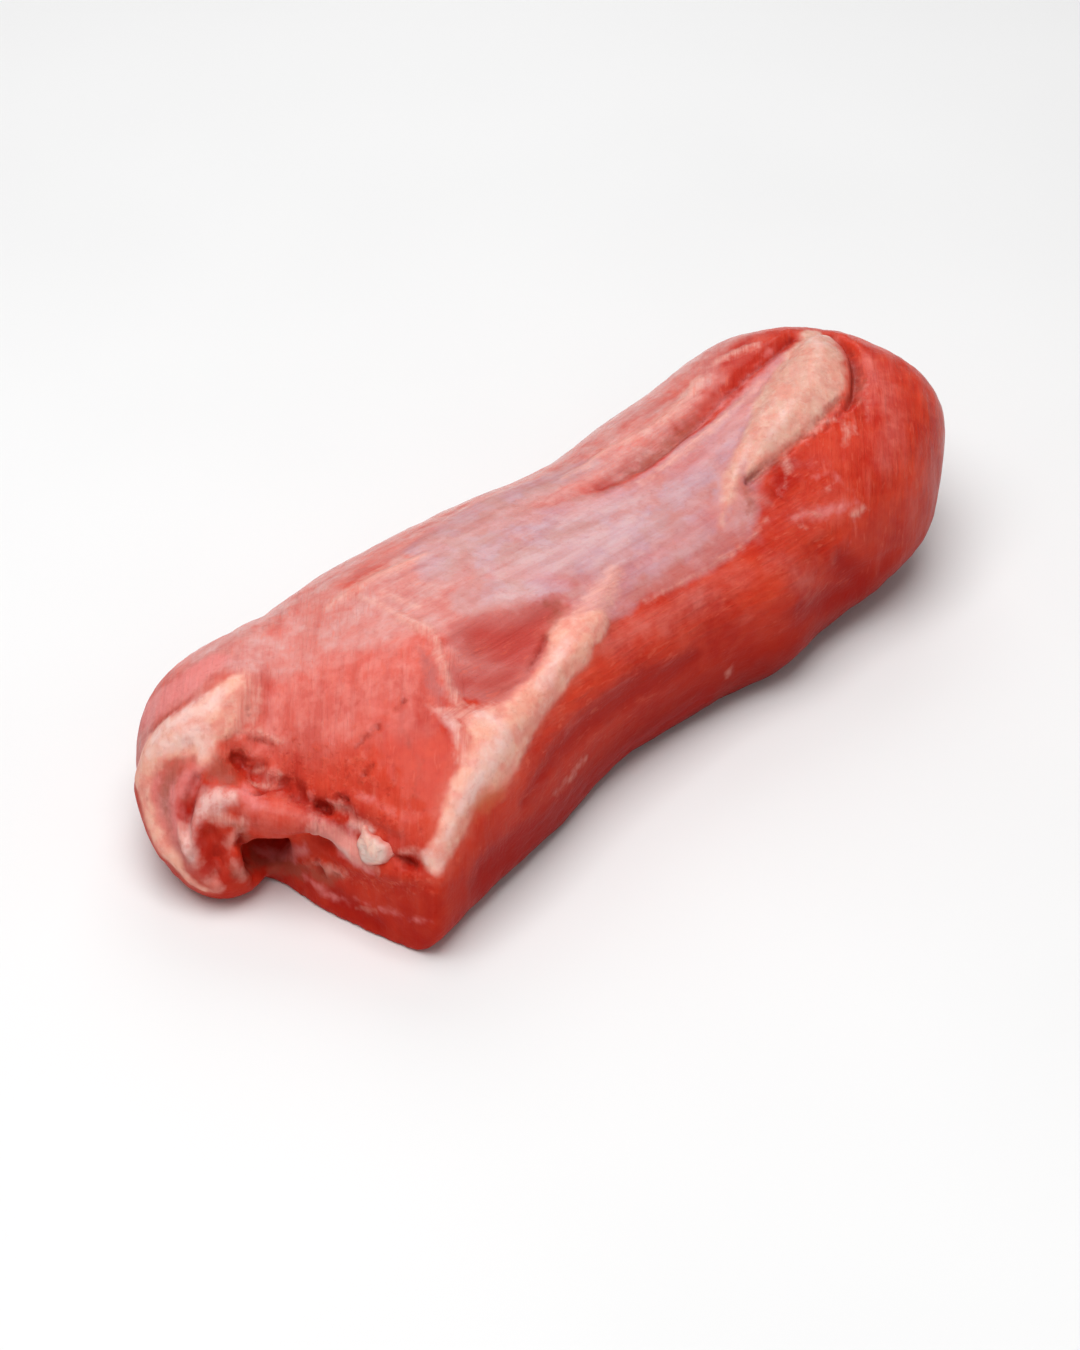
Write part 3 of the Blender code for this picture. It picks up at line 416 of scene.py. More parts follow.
# Ridges and hollows of the muscle itself, in millimetres: a height or depth, and a route with the half width
# of its footprint.
FORMS = {
    "fold": (-0.5, ((-100.5, 7.5, 33.7, 1.4), (-99.8, 5.6, 32.2, 2.6), (-98.7, 3.5, 29.9, 2.4),
        (-98.7, -1.6, 29.2, 2.0), (-95.3, -5.4, 29.8, 2.2), (-95.0, -10.9, 29.9, 1.8))),
    "hole": (-0.6, ((-93.8, -13.5, 29.4, 1.4), (-93.0, -14.9, 28.6, 2.0), (-92.7, -17.5, 28.7, 1.4))),
    "muscle_edge": (-0.3, ((-91.6, -17.6, 30.5, 1.6), (-90.8, -24.5, 30.1, 1.7), (-89.4, -30.0, 30.0, 1.7),
        (-88.0, -35.3, 29.4, 1.8))),
    "corner": (-1.2, ((-89.5, -35.9, 25.9, 1.0), (-88.5, -38.5, 25.5, 1.8), (-87.8, -40.4, 25.2, 1.2))),
    "pad_foot": (-0.9, ((46.8, -9.7, 48.7, 1.4), (52.3, -9.7, 49.6, 1.5), (58.5, -9.6, 51.1, 1.5),
        (65.7, -9.3, 52.6, 1.6), (73.7, -8.2, 53.7, 1.6), (81.1, -6.5, 54.3, 1.8))),
    "lobe_thread": (0.5, ((-107.6, -3.6, 25.3, 1.0), (-108.6, -2.7, 22.5, 1.3), (-110.0, -2.3, 20.3, 1.2),
        (-111.5, -2.3, 18.8, 0.9))),
    "ledge": (1.4, ((-96.5, -15.6, 26.6, 1.8), (-94.2, -17.5, 23.8, 2.8), (-93.0, -21.0, 22.3, 3.2),
        (-92.6, -25.4, 22.1, 3.4))),
    "muscle_lip": (0.7, ((-97.9, 7.6, 35.8, 2.5), (-96.0, 3.7, 32.4, 3.5), (-93.8, -2.2, 31.9, 3.5),
        (-92.4, -11.6, 31.8, 3.5), (-90.0, -19.5, 32.6, 3.5), (-88.1, -27.8, 32.2, 3.5),
        (-86.1, -33.8, 32.0, 3.0))),
    "tongue": (1.8, ((-105.2, -3.3, 28.5, 3.4), (-103.2, -7.3, 27.6, 4.6), (-100.1, -11.4, 27.2, 4.6),
        (-97.5, -14.6, 26.6, 3.4))),
    "inner_fold": (1.6, ((-117.7, 3.9, 18.3, 2.0), (-115.7, 4.5, 22.2, 2.6), (-111.8, 4.6, 26.6, 3.4),
        (-108.6, 2.6, 29.0, 3.4), (-105.6, -0.3, 29.5, 2.8))),
    "sliver": (-2.4, ((-110.1, 9.7, 31.3, 1.6), (-113.4, 8.8, 27.8, 2.2), (-115.8, 7.2, 24.2, 2.2),
        (-116.9, 5.0, 20.8, 1.6))),
    "valley": (-1.1, ((-108.5, 15.5, 35.7, 3.0), (-114.0, 15.8, 30.2, 4.0), (-117.5, 13.7, 24.5, 4.0),
        (-119.1, 9.5, 19.1, 3.5), (-119.2, 5.4, 14.5, 2.5))),
    "rim_roll": (1.0, ((-94.0, 15.7, 44.1, 4.0), (-99.5, 14.7, 41.3, 6.6), (-105.4, 17.0, 38.9, 6.5),
        (-110.2, 21.0, 34.9, 6.0), (-113.7, 24.1, 28.8, 5.0), (-115.9, 25.2, 21.4, 4.5),
        (-118.7, 18.8, 18.1, 4.0), (-119.9, 11.7, 13.1, 4.0))),
    "lobe_hollow": (-2.4, ((-113.4, 1.3, 21.8, 2.6), (-113.9, -0.9, 18.6, 4.2), (-115.0, -1.9, 14.5, 3.6),
        (-115.5, -2.0, 11.1, 2.0))),
    "tip_roll": (1.0, ((-110.6, -3.2, 17.6, 2.0), (-109.4, -3.6, 12.7, 3.0), (-108.3, -4.1, 9.2, 2.5))),
    "slab_edge": (0.7, ((-95.4, -12.7, 19.0, 2.0), (-93.6, -24.3, 17.9, 2.6), (-90.7, -37.4, 22.2, 2.6),
        (-85.1, -46.2, 24.1, 2.6))),
    "window": (-0.9, ((-48.4, -16.3, 48.0, 6.0), (-40.4, -17.5, 47.3, 9.0), (-32.5, -19.0, 46.8, 8.0),
        (-20.3, -14.0, 47.7, 4.0))),
    "pad_crown": (1.1, ((94.8, 15.0, 54.4, 5.0), (87.3, 6.2, 56.1, 9.0), (78.4, 1.5, 55.6, 10.5),
        (67.8, -1.4, 54.8, 9.0), (57.3, -4.4, 52.9, 6.0))),
    "crease": (-0.8, ((31.8, 13.1, 47.3, 2.0), (39.9, 13.5, 48.3, 2.6), (56.4, 16.1, 50.4, 3.0),
        (73.9, 19.4, 52.8, 3.2), (85.3, 20.3, 53.9, 3.2), (95.1, 22.8, 53.5, 3.0))),
    "notch": (-0.9, ((45.7, -10.2, 48.3, 1.2), (49.5, -9.4, 49.2, 1.6), (54.4, -8.9, 50.3, 1.2))),
    "head_groove": (-1.2, ((104.0, 19.5, 51.8, 2.0), (102.0, 9.7, 52.9, 2.8), (94.7, -0.3, 53.9, 2.8),
        (86.9, -6.9, 53.9, 2.4), (81.4, -9.4, 53.8, 1.6))),
}

# How high or deep each tissue stands off the muscle, in millimetres, and over what width it rises.
# Each gives the step at its edge, the width of that step, and the slope and the most of the rise further in.
TISSUE_RISE = {
    "fat": (0.22, 2.0, 0.08, 0.5),
    "pale": (0.1, 1.2, 0.2, 0.6),
    "film": (0.1, 2.0, 0.0, 0.0),
    "deep": (-0.2, 2.5, -0.05, 0.4),
    "raw": (-0.1, 2.0, -0.12, 0.6),
    "dark": (-0.4, 1.4, -1.1, 3.0),
}

# How each tissue's coloured edge looks, in millimetres: over what width it fades, how far it wanders off its
# route, and the size of its teeth.
EDGES = {
    "raw": (2.5, 1.2, 4.0),
    "blush": (7.0, 3.0, 7.0),
    "veil": (5.0, 3.0, 7.0),
    "mauve": (1.3, 1.3, 3.0),
    "cloud": (2.4, 2.0, 3.0),
    "film": (1.4, 1.0, 5.0),
    "deep": (1.4, 1.0, 3.0),
    "torn": (3.0, 2.0, 3.0),
    "coral": (4.5, 2.0, 5.0),
    "umber": (2.0, 1.6, 2.5),
    "rosy": (1.8, 1.4, 3.0),
    "pale": (1.4, 0.9, 2.2),
    "under_fat": (2.4, 1.2, 3.0),
    "fat": (1.2, 0.8, 4.5),
    "stain": (3.0, 1.4, 2.2),
    "sheen": (1.8, 0.8, 3.4),
    "ragged": (1.4, 1.0, 3.0),
    "dark": (1.1, 0.45, 1.5),
}

# Soft patches: their size in millimetres, the noise levels at which they begin and are full, and how much
# fine detail they have.
PATCHES = {
    "wander": (12.0, 0.3, 0.7, 2.0),
    "broad": (18.0, 0.35, 0.65, 2.0),
    "medium": (6.0, 0.36, 0.66, 3.0),
    "mottle": (3.2, 0.36, 0.68, 4.0),
    "lilac": (9.0, 0.38, 0.62, 2.0),
    "clouds": (4.5, 0.42, 0.66, 3.0),
    "shadows": (6.5, 0.46, 0.66, 4.0),
    "shreds": (2.0, 0.5, 0.72, 3.0),
    "holes": (2.6, 0.56, 0.75, 3.0),
    "grains": (2.2, 0.4, 0.68, 3.0),
    "warm": (5.0, 0.42, 0.62, 2.0),
    "rosy": (7.0, 0.46, 0.66, 4.0),
    "specks": (1.3, 0.52, 0.74, 3.0),
    "pores": (1.1, 0.3, 0.75, 2.0),
    "white_warm": (4.0, 0.4, 0.65, 2.0),
    "white_grains": (1.1, 0.4, 0.7, 3.0),
    "table": (180.0, 0.3, 0.7, 2.0),
}

# Streaks along the fibres: how far they are drawn out in millimetres on the trunk and at both ends, the noise
# levels at which they begin and are full, and how much fine detail they have.
FIBRES = {
    "bundles": ((22.0, 2.6, 2.6), (14.0, 1.9, 14.0), 0.42, 0.7, 3.0),
    "fibres": ((14.0, 0.8, 0.8), (9.0, 0.7, 9.0), 0.3, 0.7, 3.0),
    # The glints are painted highlights.
    "glints": ((5.0, 1.5, 1.5), (5.0, 1.3, 5.0), 0.6, 0.7, 2.0),
}
# The silverskin's threads, in the same way, but all turned by one angle.
THREADS_TURN = math.radians(-38.0)
THREADS = ((9.0, 1.3, 9.0), 0.48, 0.7, 4.0)

# The fibres run lengthwise along the trunk and slantwise across both ends. In millimetres: the trunk's middle
# along x, how far from there the grooves and the streaks begin to turn and have turned, and how far the turn
# of the streaks wanders.
ACROSS_FIBRES = Vector((0.743, -0.669, 0.0))
ALONG_FIBRES = Vector((0.669, 0.743, 0.0))
TRUNK_MIDDLE = 2.0
GROOVES_TURN = (52.0, 68.0)
STREAKS_TURN = (66.0, 70.0)
STREAKS_WANDER = 18.0

# A tissue's depth is only worked out this near to its routes, in millimetres.
FAR = 12.0

# The lump of white fat: places and half sizes in millimetres.
NODULE = (
    ((-90.3, -31.0, 25.2), (3.3, 3.8, 3.6)),
    ((-91.4, -29.7, 23.6), (2.7, 3.0, 3.0)),
    ((-90.9, -28.1, 26.0), (2.5, 2.5, 2.8)),
    ((-89.7, -33.0, 25.9), (2.1, 2.3, 2.5)),
    ((-90.7, -27.0, 28.6), (1.2, 1.1, 1.7)),
)

# The shine and inner glow that every raw tissue here shares.
WET = {
    "IOR": 1.4,
    "Specular IOR Level": 0.06,
    "Subsurface Weight": 0.18,
    "Subsurface Radius": (1.0, 0.28, 0.18),
    "Coat Roughness": 0.18,
    "Coat IOR": 1.33,
}

# The soft lights' widths and places, and the point that they face, in metres.
SOFT_LIGHTS = {
    "key": (0.8, (-0.22, -0.06, 1.0)),
    "back": (0.7, (0.55, 0.65, 0.75)),
    "fill": (0.7, (-0.55, -0.75, 0.6)),
}
LIGHTS_AIM = Vector((0.0, 0.0, 0.02))

# Where the camera looks and how far away it stands, in metres.
VIEW_CENTRE = Vector((-0.00351, 0.01120, 0.00135))
VIEW_DISTANCE = 0.80


# Meshes


def merged_copy(node):
    """A welded copy of a CAD node's loose triangles."""
    work = bmesh.new()
    work.from_mesh(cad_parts[node].data)
    bmesh.ops.remove_doubles(work, verts=work.verts, dist=0.001 * MM)
    return work


def new_piece(name, work):
    """An object made from a bmesh, which is then freed."""
    mesh = bpy.data.meshes.new(name)
    work.to_mesh(mesh)
    work.free()
    piece = bpy.data.objects.new(name, mesh)
    bpy.context.scene.collection.objects.link(piece)
    return piece


def even_skin(piece, voxel, times):
    """Gives the piece an even skin and smooths the CAD solid's facets out of it."""
    skin = piece.modifiers.new("skin", "REMESH")
    skin.mode = "VOXEL"
    skin.voxel_size = voxel
    soften = piece.modifiers.new("soften", "SMOOTH")
    soften.factor = 0.5
    soften.iterations = times
    graph = bpy.context.evaluated_depsgraph_get()
    mesh = bpy.data.meshes.new_from_object(piece.evaluated_get(graph))
    piece.modifiers.clear()
    piece.data = mesh
    return piece


def mesh_points(mesh):
    """The mesh's points and their outward directions, in metres."""
    points, outward = np.empty(len(mesh.vertices) * 3), np.empty(len(mesh.vertices) * 3)
    mesh.vertices.foreach_get("co", points)
    mesh.vertex_normals.foreach_get("vector", outward)
    return points.reshape(-1, 3), outward.reshape(-1, 3)


def move_points(mesh, points):
    """Moves the mesh's points to these places, in metres."""
    mesh.vertices.foreach_set("co", points.ravel())
    mesh.update()


def keep_on_mesh(mesh, values):
    """Keeps values of each point on the mesh by name, for the material to read."""
    for name, value in values.items():
        mesh.attributes.new(name, "FLOAT", "POINT").data.foreach_set("value", value.astype(np.float32))


def finished(piece, material):
    """Makes the piece smooth and part of the one body, with its material."""
    piece.data.polygons.foreach_set("use_smooth", [True] * len(piece.data.polygons))
    piece.data.materials.clear()
    piece.data.materials.append(material)
    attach(piece, "root")


# Tissues


def along(route, step=0.6):
    """Points spaced evenly along a route, each with its half width, in millimetres."""
    points = np.array(route)
    spans = np.linalg.norm(np.diff(points[:, :3], axis=0), axis=1)
    reached = np.concatenate([[0.0], np.cumsum(spans)])
    places = np.linspace(0.0, reached[-1], max(2, int(reached[-1] / step)))
    return np.stack([np.interp(places, reached, points[:, k]) for k in range(4)], 1)


def around(points, route, margin):
    """The numbers of the points near a route, and the route's own spaced points."""
    spaced = along(route)
    reach = spaced[:, 3:].max() + margin
    low, high = spaced[:, :3].min(0) - reach, spaced[:, :3].max(0) + reach
    return np.nonzero(((points > low) & (points < high)).all(1))[0], spaced


def inside(points, routes):
    """How far each point lies inside a tissue's routes, in millimetres, and below zero outside them."""
    depth = np.full(len(points), -FAR)
    for route in routes:
        near, spaced = around(points, route, FAR)
        for x, y, z, half in spaced:
            depth[near] = np.maximum(depth[near], half - np.linalg.norm(points[near] - (x, y, z), axis=1))
    return depth


def formed(points, forms):
    """How far the ridges and hollows lift each point, in millimetres, with round footprints."""
    height = np.zeros(len(points))
    for lift, route in forms.values():
        near, spaced = around(points, route, 0.0)
        share = np.zeros(len(near))
        for x, y, z, half in spaced:
            apart = np.linalg.norm(points[near] - (x, y, z), axis=1) / half
            share = np.maximum(share, np.clip(1.0 - apart * apart, 0.0, 1.0))
        height[near] += lift * share**1.5
    return height


def rising(depth, width):
    """0 outside a tissue and 1 inside it, rising smoothly over a width that is centred on its edge."""
    part = np.clip(depth / width + 0.5, 0.0, 1.0)
    return part * part * (3.0 - 2.0 * part)


def lumps(points, size, seed, octaves=2):
    """Smooth noise of about -1 to 1 at each point, with lumps of this size in millimetres."""
    start = Vector((seed * 17.3, seed * -9.1, seed * 5.7))
    return np.array([noise.fractal(Vector(point) / size + start, 1.0, 2.0, octaves) for point in points])


def fibre_lumps(points, across, run, seed):
    """Noise drawn out along the muscle's fibres, so far across them and along their run, in millimetres."""
    side, ahead = np.array(ACROSS_FIBRES), np.array(ALONG_FIBRES)
    ends = np.stack([points @ side / across, points @ ahead / run, points[:, 2] / run], 1)
    trunk = points / (run, across, across)
    begins, turned = GROOVES_TURN
    share = np.clip((np.abs(points[:, 0] - TRUNK_MIDDLE) - begins) / (turned - begins), 0.0, 1.0)
    return share * lumps(ends, 1.0, seed, octaves=3) + (1.0 - share) * lumps(trunk, 1.0, seed + 1, octaves=3)


def carve(mesh, tissues, settings):
    """Raises the fat and skins, sinks the creases, and gives the muscle its lumps and fibres.

    Returns how far each point's fine lumps stand out, from about -1 in hollows to 1 on ridges.
    """
    points, outward = mesh_points(mesh)
    place = points / MM
    muscle = 1.0 - np.maximum(rising(tissues["fat"], width=2.0), rising(tissues["film"], width=6.0))
    broad, soft = lumps(place, size=15.0, seed=1), lumps(place, size=5.5, seed=2)
    height = settings.swell / MM * (0.5 * broad + 0.22 * soft)
    fine = fibre_lumps(place, across=2.3, run=20.0, seed=3)
    height += settings.fibre_depth / MM * (0.3 + 0.7 * muscle) * fine
    height += formed(place, FORMS)
    for name, (step, width, slope, most) in TISSUE_RISE.items():
        further = np.clip(np.abs(slope) * tissues[name], 0.0, most)
        height += step * rising(tissues[name], width) + np.sign(slope) * further
    height += 0.25 * rising(tissues["fat"], width=3.0) * lumps(place, size=4.2, seed=5)
    rough = lumps(place, size=3.2, seed=6, octaves=3)
    ragged = rising(tissues["ragged"], width=2.4)
    height += (0.35 * rising(tissues["torn"], width=6.0) + settings.ruffle / MM * ragged) * rough
    moved = points + outward * height[:, None] * MM
    moved[:, 2] = np.maximum(moved[:, 2], 0.0)
    move_points(mesh, moved)
    return (1.0 - ragged) * 0.5 * fine + ragged * rough


def fat_lump(name, blobs, voxel):
    """Soft lumps of fat run together: each blob is a place and three half sizes in millimetres."""
    work = bmesh.new()
    for place, sizes in blobs:
        ball = bmesh.ops.create_icosphere(work, subdivisions=4, radius=1.0)["verts"]
        stretched = Matrix.Diagonal((*(size * MM for size in sizes), 1.0))
        bmesh.ops.transform(work, matrix=Matrix.Translation(Vector(place) * MM) @ stretched, verts=ball)
    piece = even_skin(new_piece(name, work), voxel, times=14)
    points, outward = mesh_points(piece.data)
    points += outward * (0.38 * lumps(points / MM, size=2.8, seed=8))[:, None] * MM
    move_points(piece.data, points)
    return piece


def height_over(piece, carrier):
    """How far each point of a piece stands out of the piece that carries it, in millimetres."""
    surface = BVHTree.FromObject(carrier, bpy.context.evaluated_depsgraph_get())
    points = [vertex.co for vertex in piece.data.vertices]
    nearest = [surface.find_nearest(point)[:2] for point in points]
    return np.array([(point - place).dot(outward) / MM for point, (place, outward) in zip(points, nearest)])


# Shader building blocks


class Nodes:
    """A node tree in the making. The values in its sums and mixes are numbers or outputs of nodes."""

    def __init__(self, tree):
        self.tree = tree

    def give(self, socket, value):
        """Sets an input to a value or links it to an output."""
        if isinstance(value, bpy.types.NodeSocket):
            self.tree.links.new(value, socket)
        else:
            socket.default_value = value

    def put(self, kind, inputs=(), **settings):
        """Adds a node with these inputs and settings."""
        node = self.tree.nodes.new(kind)
        for name, value in settings.items():
            setattr(node, name, value)
        for key, value in dict(inputs).items():
            self.give(node.inputs[key], value)
        return node

    def calc(self, operation, *values):
        return self.put("ShaderNodeMath", enumerate(values), operation=operation).outputs[0]

    def times(self, *values):
        return reduce(lambda first, second: self.calc("MULTIPLY", first, second), values)

    def plus(self, *values):
        return reduce(lambda first, second: self.calc("ADD", first, second), values)

    def most(self, first, second):
        return self.calc("MAXIMUM", first, second)

    def rest(self, share):
        """What a share leaves of 1."""
        return self.calc("SUBTRACT", 1.0, share)

    def between(self, share, first, second):
        """A number between two others, by a share from 0 to 1."""
        return self.put("ShaderNodeMix", {0: share, 2: first, 3: second}).outputs[0]

    def level(self, value, low, high, to_low=0.0, to_high=1.0):
        """Maps a value's range to another, smoothly and clamped."""
        inputs = {0: value, 1: low, 2: high, 3: to_low, 4: to_high}
        return self.put("ShaderNodeMapRange", inputs, interpolation_type="SMOOTHSTEP").outputs[0]

    def speckle(self, place, scale, detail, roughness, **more):
        """Plain noise around 0.5."""
        inputs = {"Vector": place, "Scale": scale, "Detail": detail, "Roughness": roughness, **more}
        return self.put("ShaderNodeTexNoise", inputs).outputs[0]


def group(name, inputs, output):
    """The nodes of a new group, what it is given by its inputs, and the socket for its result."""
    tree = bpy.data.node_groups.new(name, "ShaderNodeTree")
    for label, default in inputs.items():
        kind = "NodeSocketVector" if isinstance(default, tuple) else "NodeSocketFloat"
        tree.interface.new_socket(label, in_out="INPUT", socket_type=kind).default_value = default
    tree.interface.new_socket(output, in_out="OUTPUT", socket_type="NodeSocketFloat")
    given = tree.nodes.new("NodeGroupInput").outputs
    return Nodes(tree), given, tree.nodes.new("NodeGroupOutput").inputs[output]


def feathered_edge(name):
    """Turns a tissue's depth into a mask with a ragged, feathered edge."""
    inputs = {"Position": (0.0, 0.0, 0.0), "Depth": 0.0, "Feather": 0.5, "Ragged": 0.5, "Tooth": 2.0}
    nodes, given, result = group(name, inputs, "Mask")
    pull = nodes.speckle(given["Position"], nodes.calc("DIVIDE", 1.0, given["Tooth"]), 2.0, 0.5)
    shift = nodes.times(nodes.calc("SUBTRACT", pull, 0.5), nodes.times(given["Ragged"], 4.0))
    under = nodes.times(given["Feather"], -1.0)
    nodes.give(result, nodes.level(nodes.plus(given["Depth"], shift), under, given["Feather"]))
    return nodes.tree


def drawn_streaks(name):
    """Noise drawn out along one direction, as muscle fibres and skin threads are."""
    even, still = (1.0, 1.0, 1.0), (0.0, 0.0, 0.0)
    inputs = {"Position": still, "Turn": still, "Stretch": even, "Low": 0.4, "High": 0.65, "Fine": 3.0}
    nodes, given, result = group(name, inputs, "Streak")
    placed = {"Vector": given["Position"], "Rotation": given["Turn"], "Scale": given["Stretch"]}
    turned = nodes.put("ShaderNodeMapping", placed, vector_type="TEXTURE").outputs[0]
    strands = nodes.speckle(turned, 1.0, given["Fine"], 0.6, Distortion=0.2)
    nodes.give(result, nodes.level(strands, given["Low"], given["High"]))
    return nodes.tree


class Look(Nodes):
    """A material in the making. Its masks and patterns are made once and then used again."""

    def __init__(self, name):
        self.material = bpy.data.materials.new(name)
        self.material.use_nodes = True
        super().__init__(self.material.node_tree)
        spot = self.put("ShaderNodeTexCoord").outputs["Object"]
        # the place on the piece, in millimetres
        self.place = self.put("ShaderNodeVectorMath", {0: spot, 3: 1.0 / MM}, operation="SCALE").outputs[0]

    def put_group(self, name, build, inputs):
        """Adds a node group, which is built the first time it is asked for."""
        shared = bpy.data.node_groups.get(name) or build(name)
        return self.put("ShaderNodeGroup", inputs, node_tree=shared).outputs[0]

    @cache
    def depth(self, tissue):
        """How far inside a tissue the surface is, as recorded on the mesh."""
        return self.put("ShaderNodeAttribute", attribute_name=tissue).outputs["Fac"]

    @cache
    def edge(self, tissue, depth=None):
        """A tissue's share of the colour, with its own kind of edge, by its depth on the mesh or another."""
        inputs = dict(zip(("Feather", "Ragged", "Tooth"), EDGES[tissue]))
        inputs.update(Position=self.place, Depth=self.depth(tissue) if depth is None else depth)
        return self.put_group("feathered edge", feathered_edge, inputs)

    @cache
    def patches(self, name):
        """Soft patches, as a share from 0 to 1."""
        size, low, high, detail = PATCHES[name]
        return self.level(self.speckle(self.place, 1.0 / size, detail, 0.55), low, high)

    def streaks(self, turn, stretch, low, high, fine):
        """Streaks drawn out by a stretch along each axis, in millimetres, and turned about the vertical."""
        inputs = {"Position": self.place, "Turn": (0.0, 0.0, turn), "Stretch": stretch}
        inputs.update(Low=low, High=high, Fine=fine)
        return self.put_group("drawn streaks", drawn_streaks, inputs)

    def layers(self, colour, *above):
        """A colour with others laid over it in turn, each by the product of the shares that follow it."""
        for upper, *shares in above:
            inputs = {0: self.times(*shares), 6: as_colour(colour), 7: as_colour(upper)}
            colour = self.put("ShaderNodeMix", inputs, data_type="RGBA").outputs[2]
        return colour

    def surface(self, values, height=None):
        """The material, with these values for its surface, and bumps of this height in millimetres."""
        shader = self.tree.nodes["Principled BSDF"]
        for name, value in values.items():
            self.give(shader.inputs[name], value)
        if height is not None:
            bumps = self.put("ShaderNodeBump", {"Strength": 1.0, "Distance": MM, "Height": height})
            self.give(shader.inputs["Normal"], bumps.outputs[0])
        return self.material

    def wet_surface(self, hues, values, height):
        """The surface of a raw tissue, with the shine and inner glow that all of them share."""
        return self.surface({**WET, "Subsurface Scale": hues.glow_depth, **values}, height)


def as_colour(value):
    return value if isinstance(value, bpy.types.NodeSocket) else (*value, 1.0)


# Materials


class MeatLook(Look):
    """The meat's look, with its places along x and z, and its streaks along the fibres."""

    def __init__(self, name):
        super().__init__(name)
        self.lengthwise, _, self.high = self.put("ShaderNodeSeparateXYZ", {0: self.place}).outputs
        from_middle = self.calc("ABSOLUTE", self.calc("SUBTRACT", self.lengthwise, TRUNK_MIDDLE))
        wander = self.times(self.patches("wander"), STREAKS_WANDER)
        self.at_ends = self.level(self.plus(from_middle, wander), *STREAKS_TURN)
        upper = self.level(self.high, 12.0, 34.0, 0.3, 1.0)
        self.bundles = self.times(upper, self.along_fibres("bundles"))
        self.fibres = self.times(upper, self.along_fibres("fibres"))
        self.threads = self.streaks(THREADS_TURN, *THREADS)

    def along_fibres(self, name):
        """Streaks that run lengthwise along the trunk, and turn with the fibres at both ends."""
        trunk, ends, *levels = FIBRES[name]
        turn = math.atan2(ALONG_FIBRES.y, ALONG_FIBRES.x)
        straight, turned = self.streaks(0.0, trunk, *levels), self.streaks(turn, ends, *levels)
        return self.between(self.at_ends, straight, turned)


def muscle_colour(look, hues):
    """Bare muscle with patches and fibres, and painted shade: redder low down, darkest at the foot of its
    sides.
    """
    medium = look.patches("medium")
    painted_shade_low = look.level(look.high, 3.0, 42.0, 0.9, 0.0)
    behind_lobe = look.level(look.lengthwise, -96.0, -70.0, 0.35, 1.0)
    return look.layers(
        hues.muscle_deep,
        (hues.muscle, look.patches("broad")),
        (hues.muscle_deep, medium, 0.35),
        (hues.muscle_bright, look.patches("mottle"), 0.3),
        (hues.muscle_fibre, look.fibres, 0.12),
        (hues.muscle_fibre, look.bundles, look.level(medium, 0.2, 0.9), 0.2),
        # Painted shade: the raw red low down and the shade colour at the foot of the sides darken the muscle
        # toward the table.
        (hues.raw, painted_shade_low, behind_lobe),
        (hues.shade, look.level(look.high, 2.0, 24.0, 0.5, 0.0), look.level(look.lengthwise, -84.0, -50.0)),
        (hues.raw, look.edge("raw"), 0.75),
    )


def silverskin_colour(look, hues):
    """The skin over the middle, cooler toward the far end, with light clouds, shadows and threads."""
    far_end = look.level(look.lengthwise, 8.0, 44.0, 0.0, 0.9)
    light = look.most(look.times(look.patches("clouds"), 0.35), look.times(look.edge("cloud"), 0.62))
    return look.layers(
        hues.silverskin,
        (hues.silverskin_lilac, look.most(look.patches("lilac"), far_end)),
        (hues.silverskin_grey, look.patches("mottle"), 0.22),
        (hues.silverskin_shadow, look.patches("shadows"), 0.5),
        (hues.silverskin_shadow, look.edge("mauve"), 0.75),
        (hues.silverskin_light, light),
        (hues.silverskin_shadow, look.threads, 0.12),
    )


def window_colour(look, hues):
    """Dark muscle under clear skin, paler at its edge, where the skin thickens."""
    clear = look.layers(hues.window, (hues.window_red, look.patches("broad")))
    return look.layers(hues.window_thin, (clear, look.level(look.depth("deep"), 0.5, 6.0, 0.0, 0.9)))


def fat_colour(look, hues):
    """The seams and the pad, with pinker patches and light grains, and duller toward the far end."""
    return look.layers(
        hues.fat,
        (hues.fat_pink, look.patches("warm")),
        (hues.fat_dull, look.level(look.lengthwise, -40.0, 80.0, 0.0, 0.6)),
        (hues.fat_light, look.patches("grains"), 0.38),
        (hues.fat_edge, look.bundles, 0.3),
        (hues.fat_edge, look.patches("rosy"), 0.45),
    )


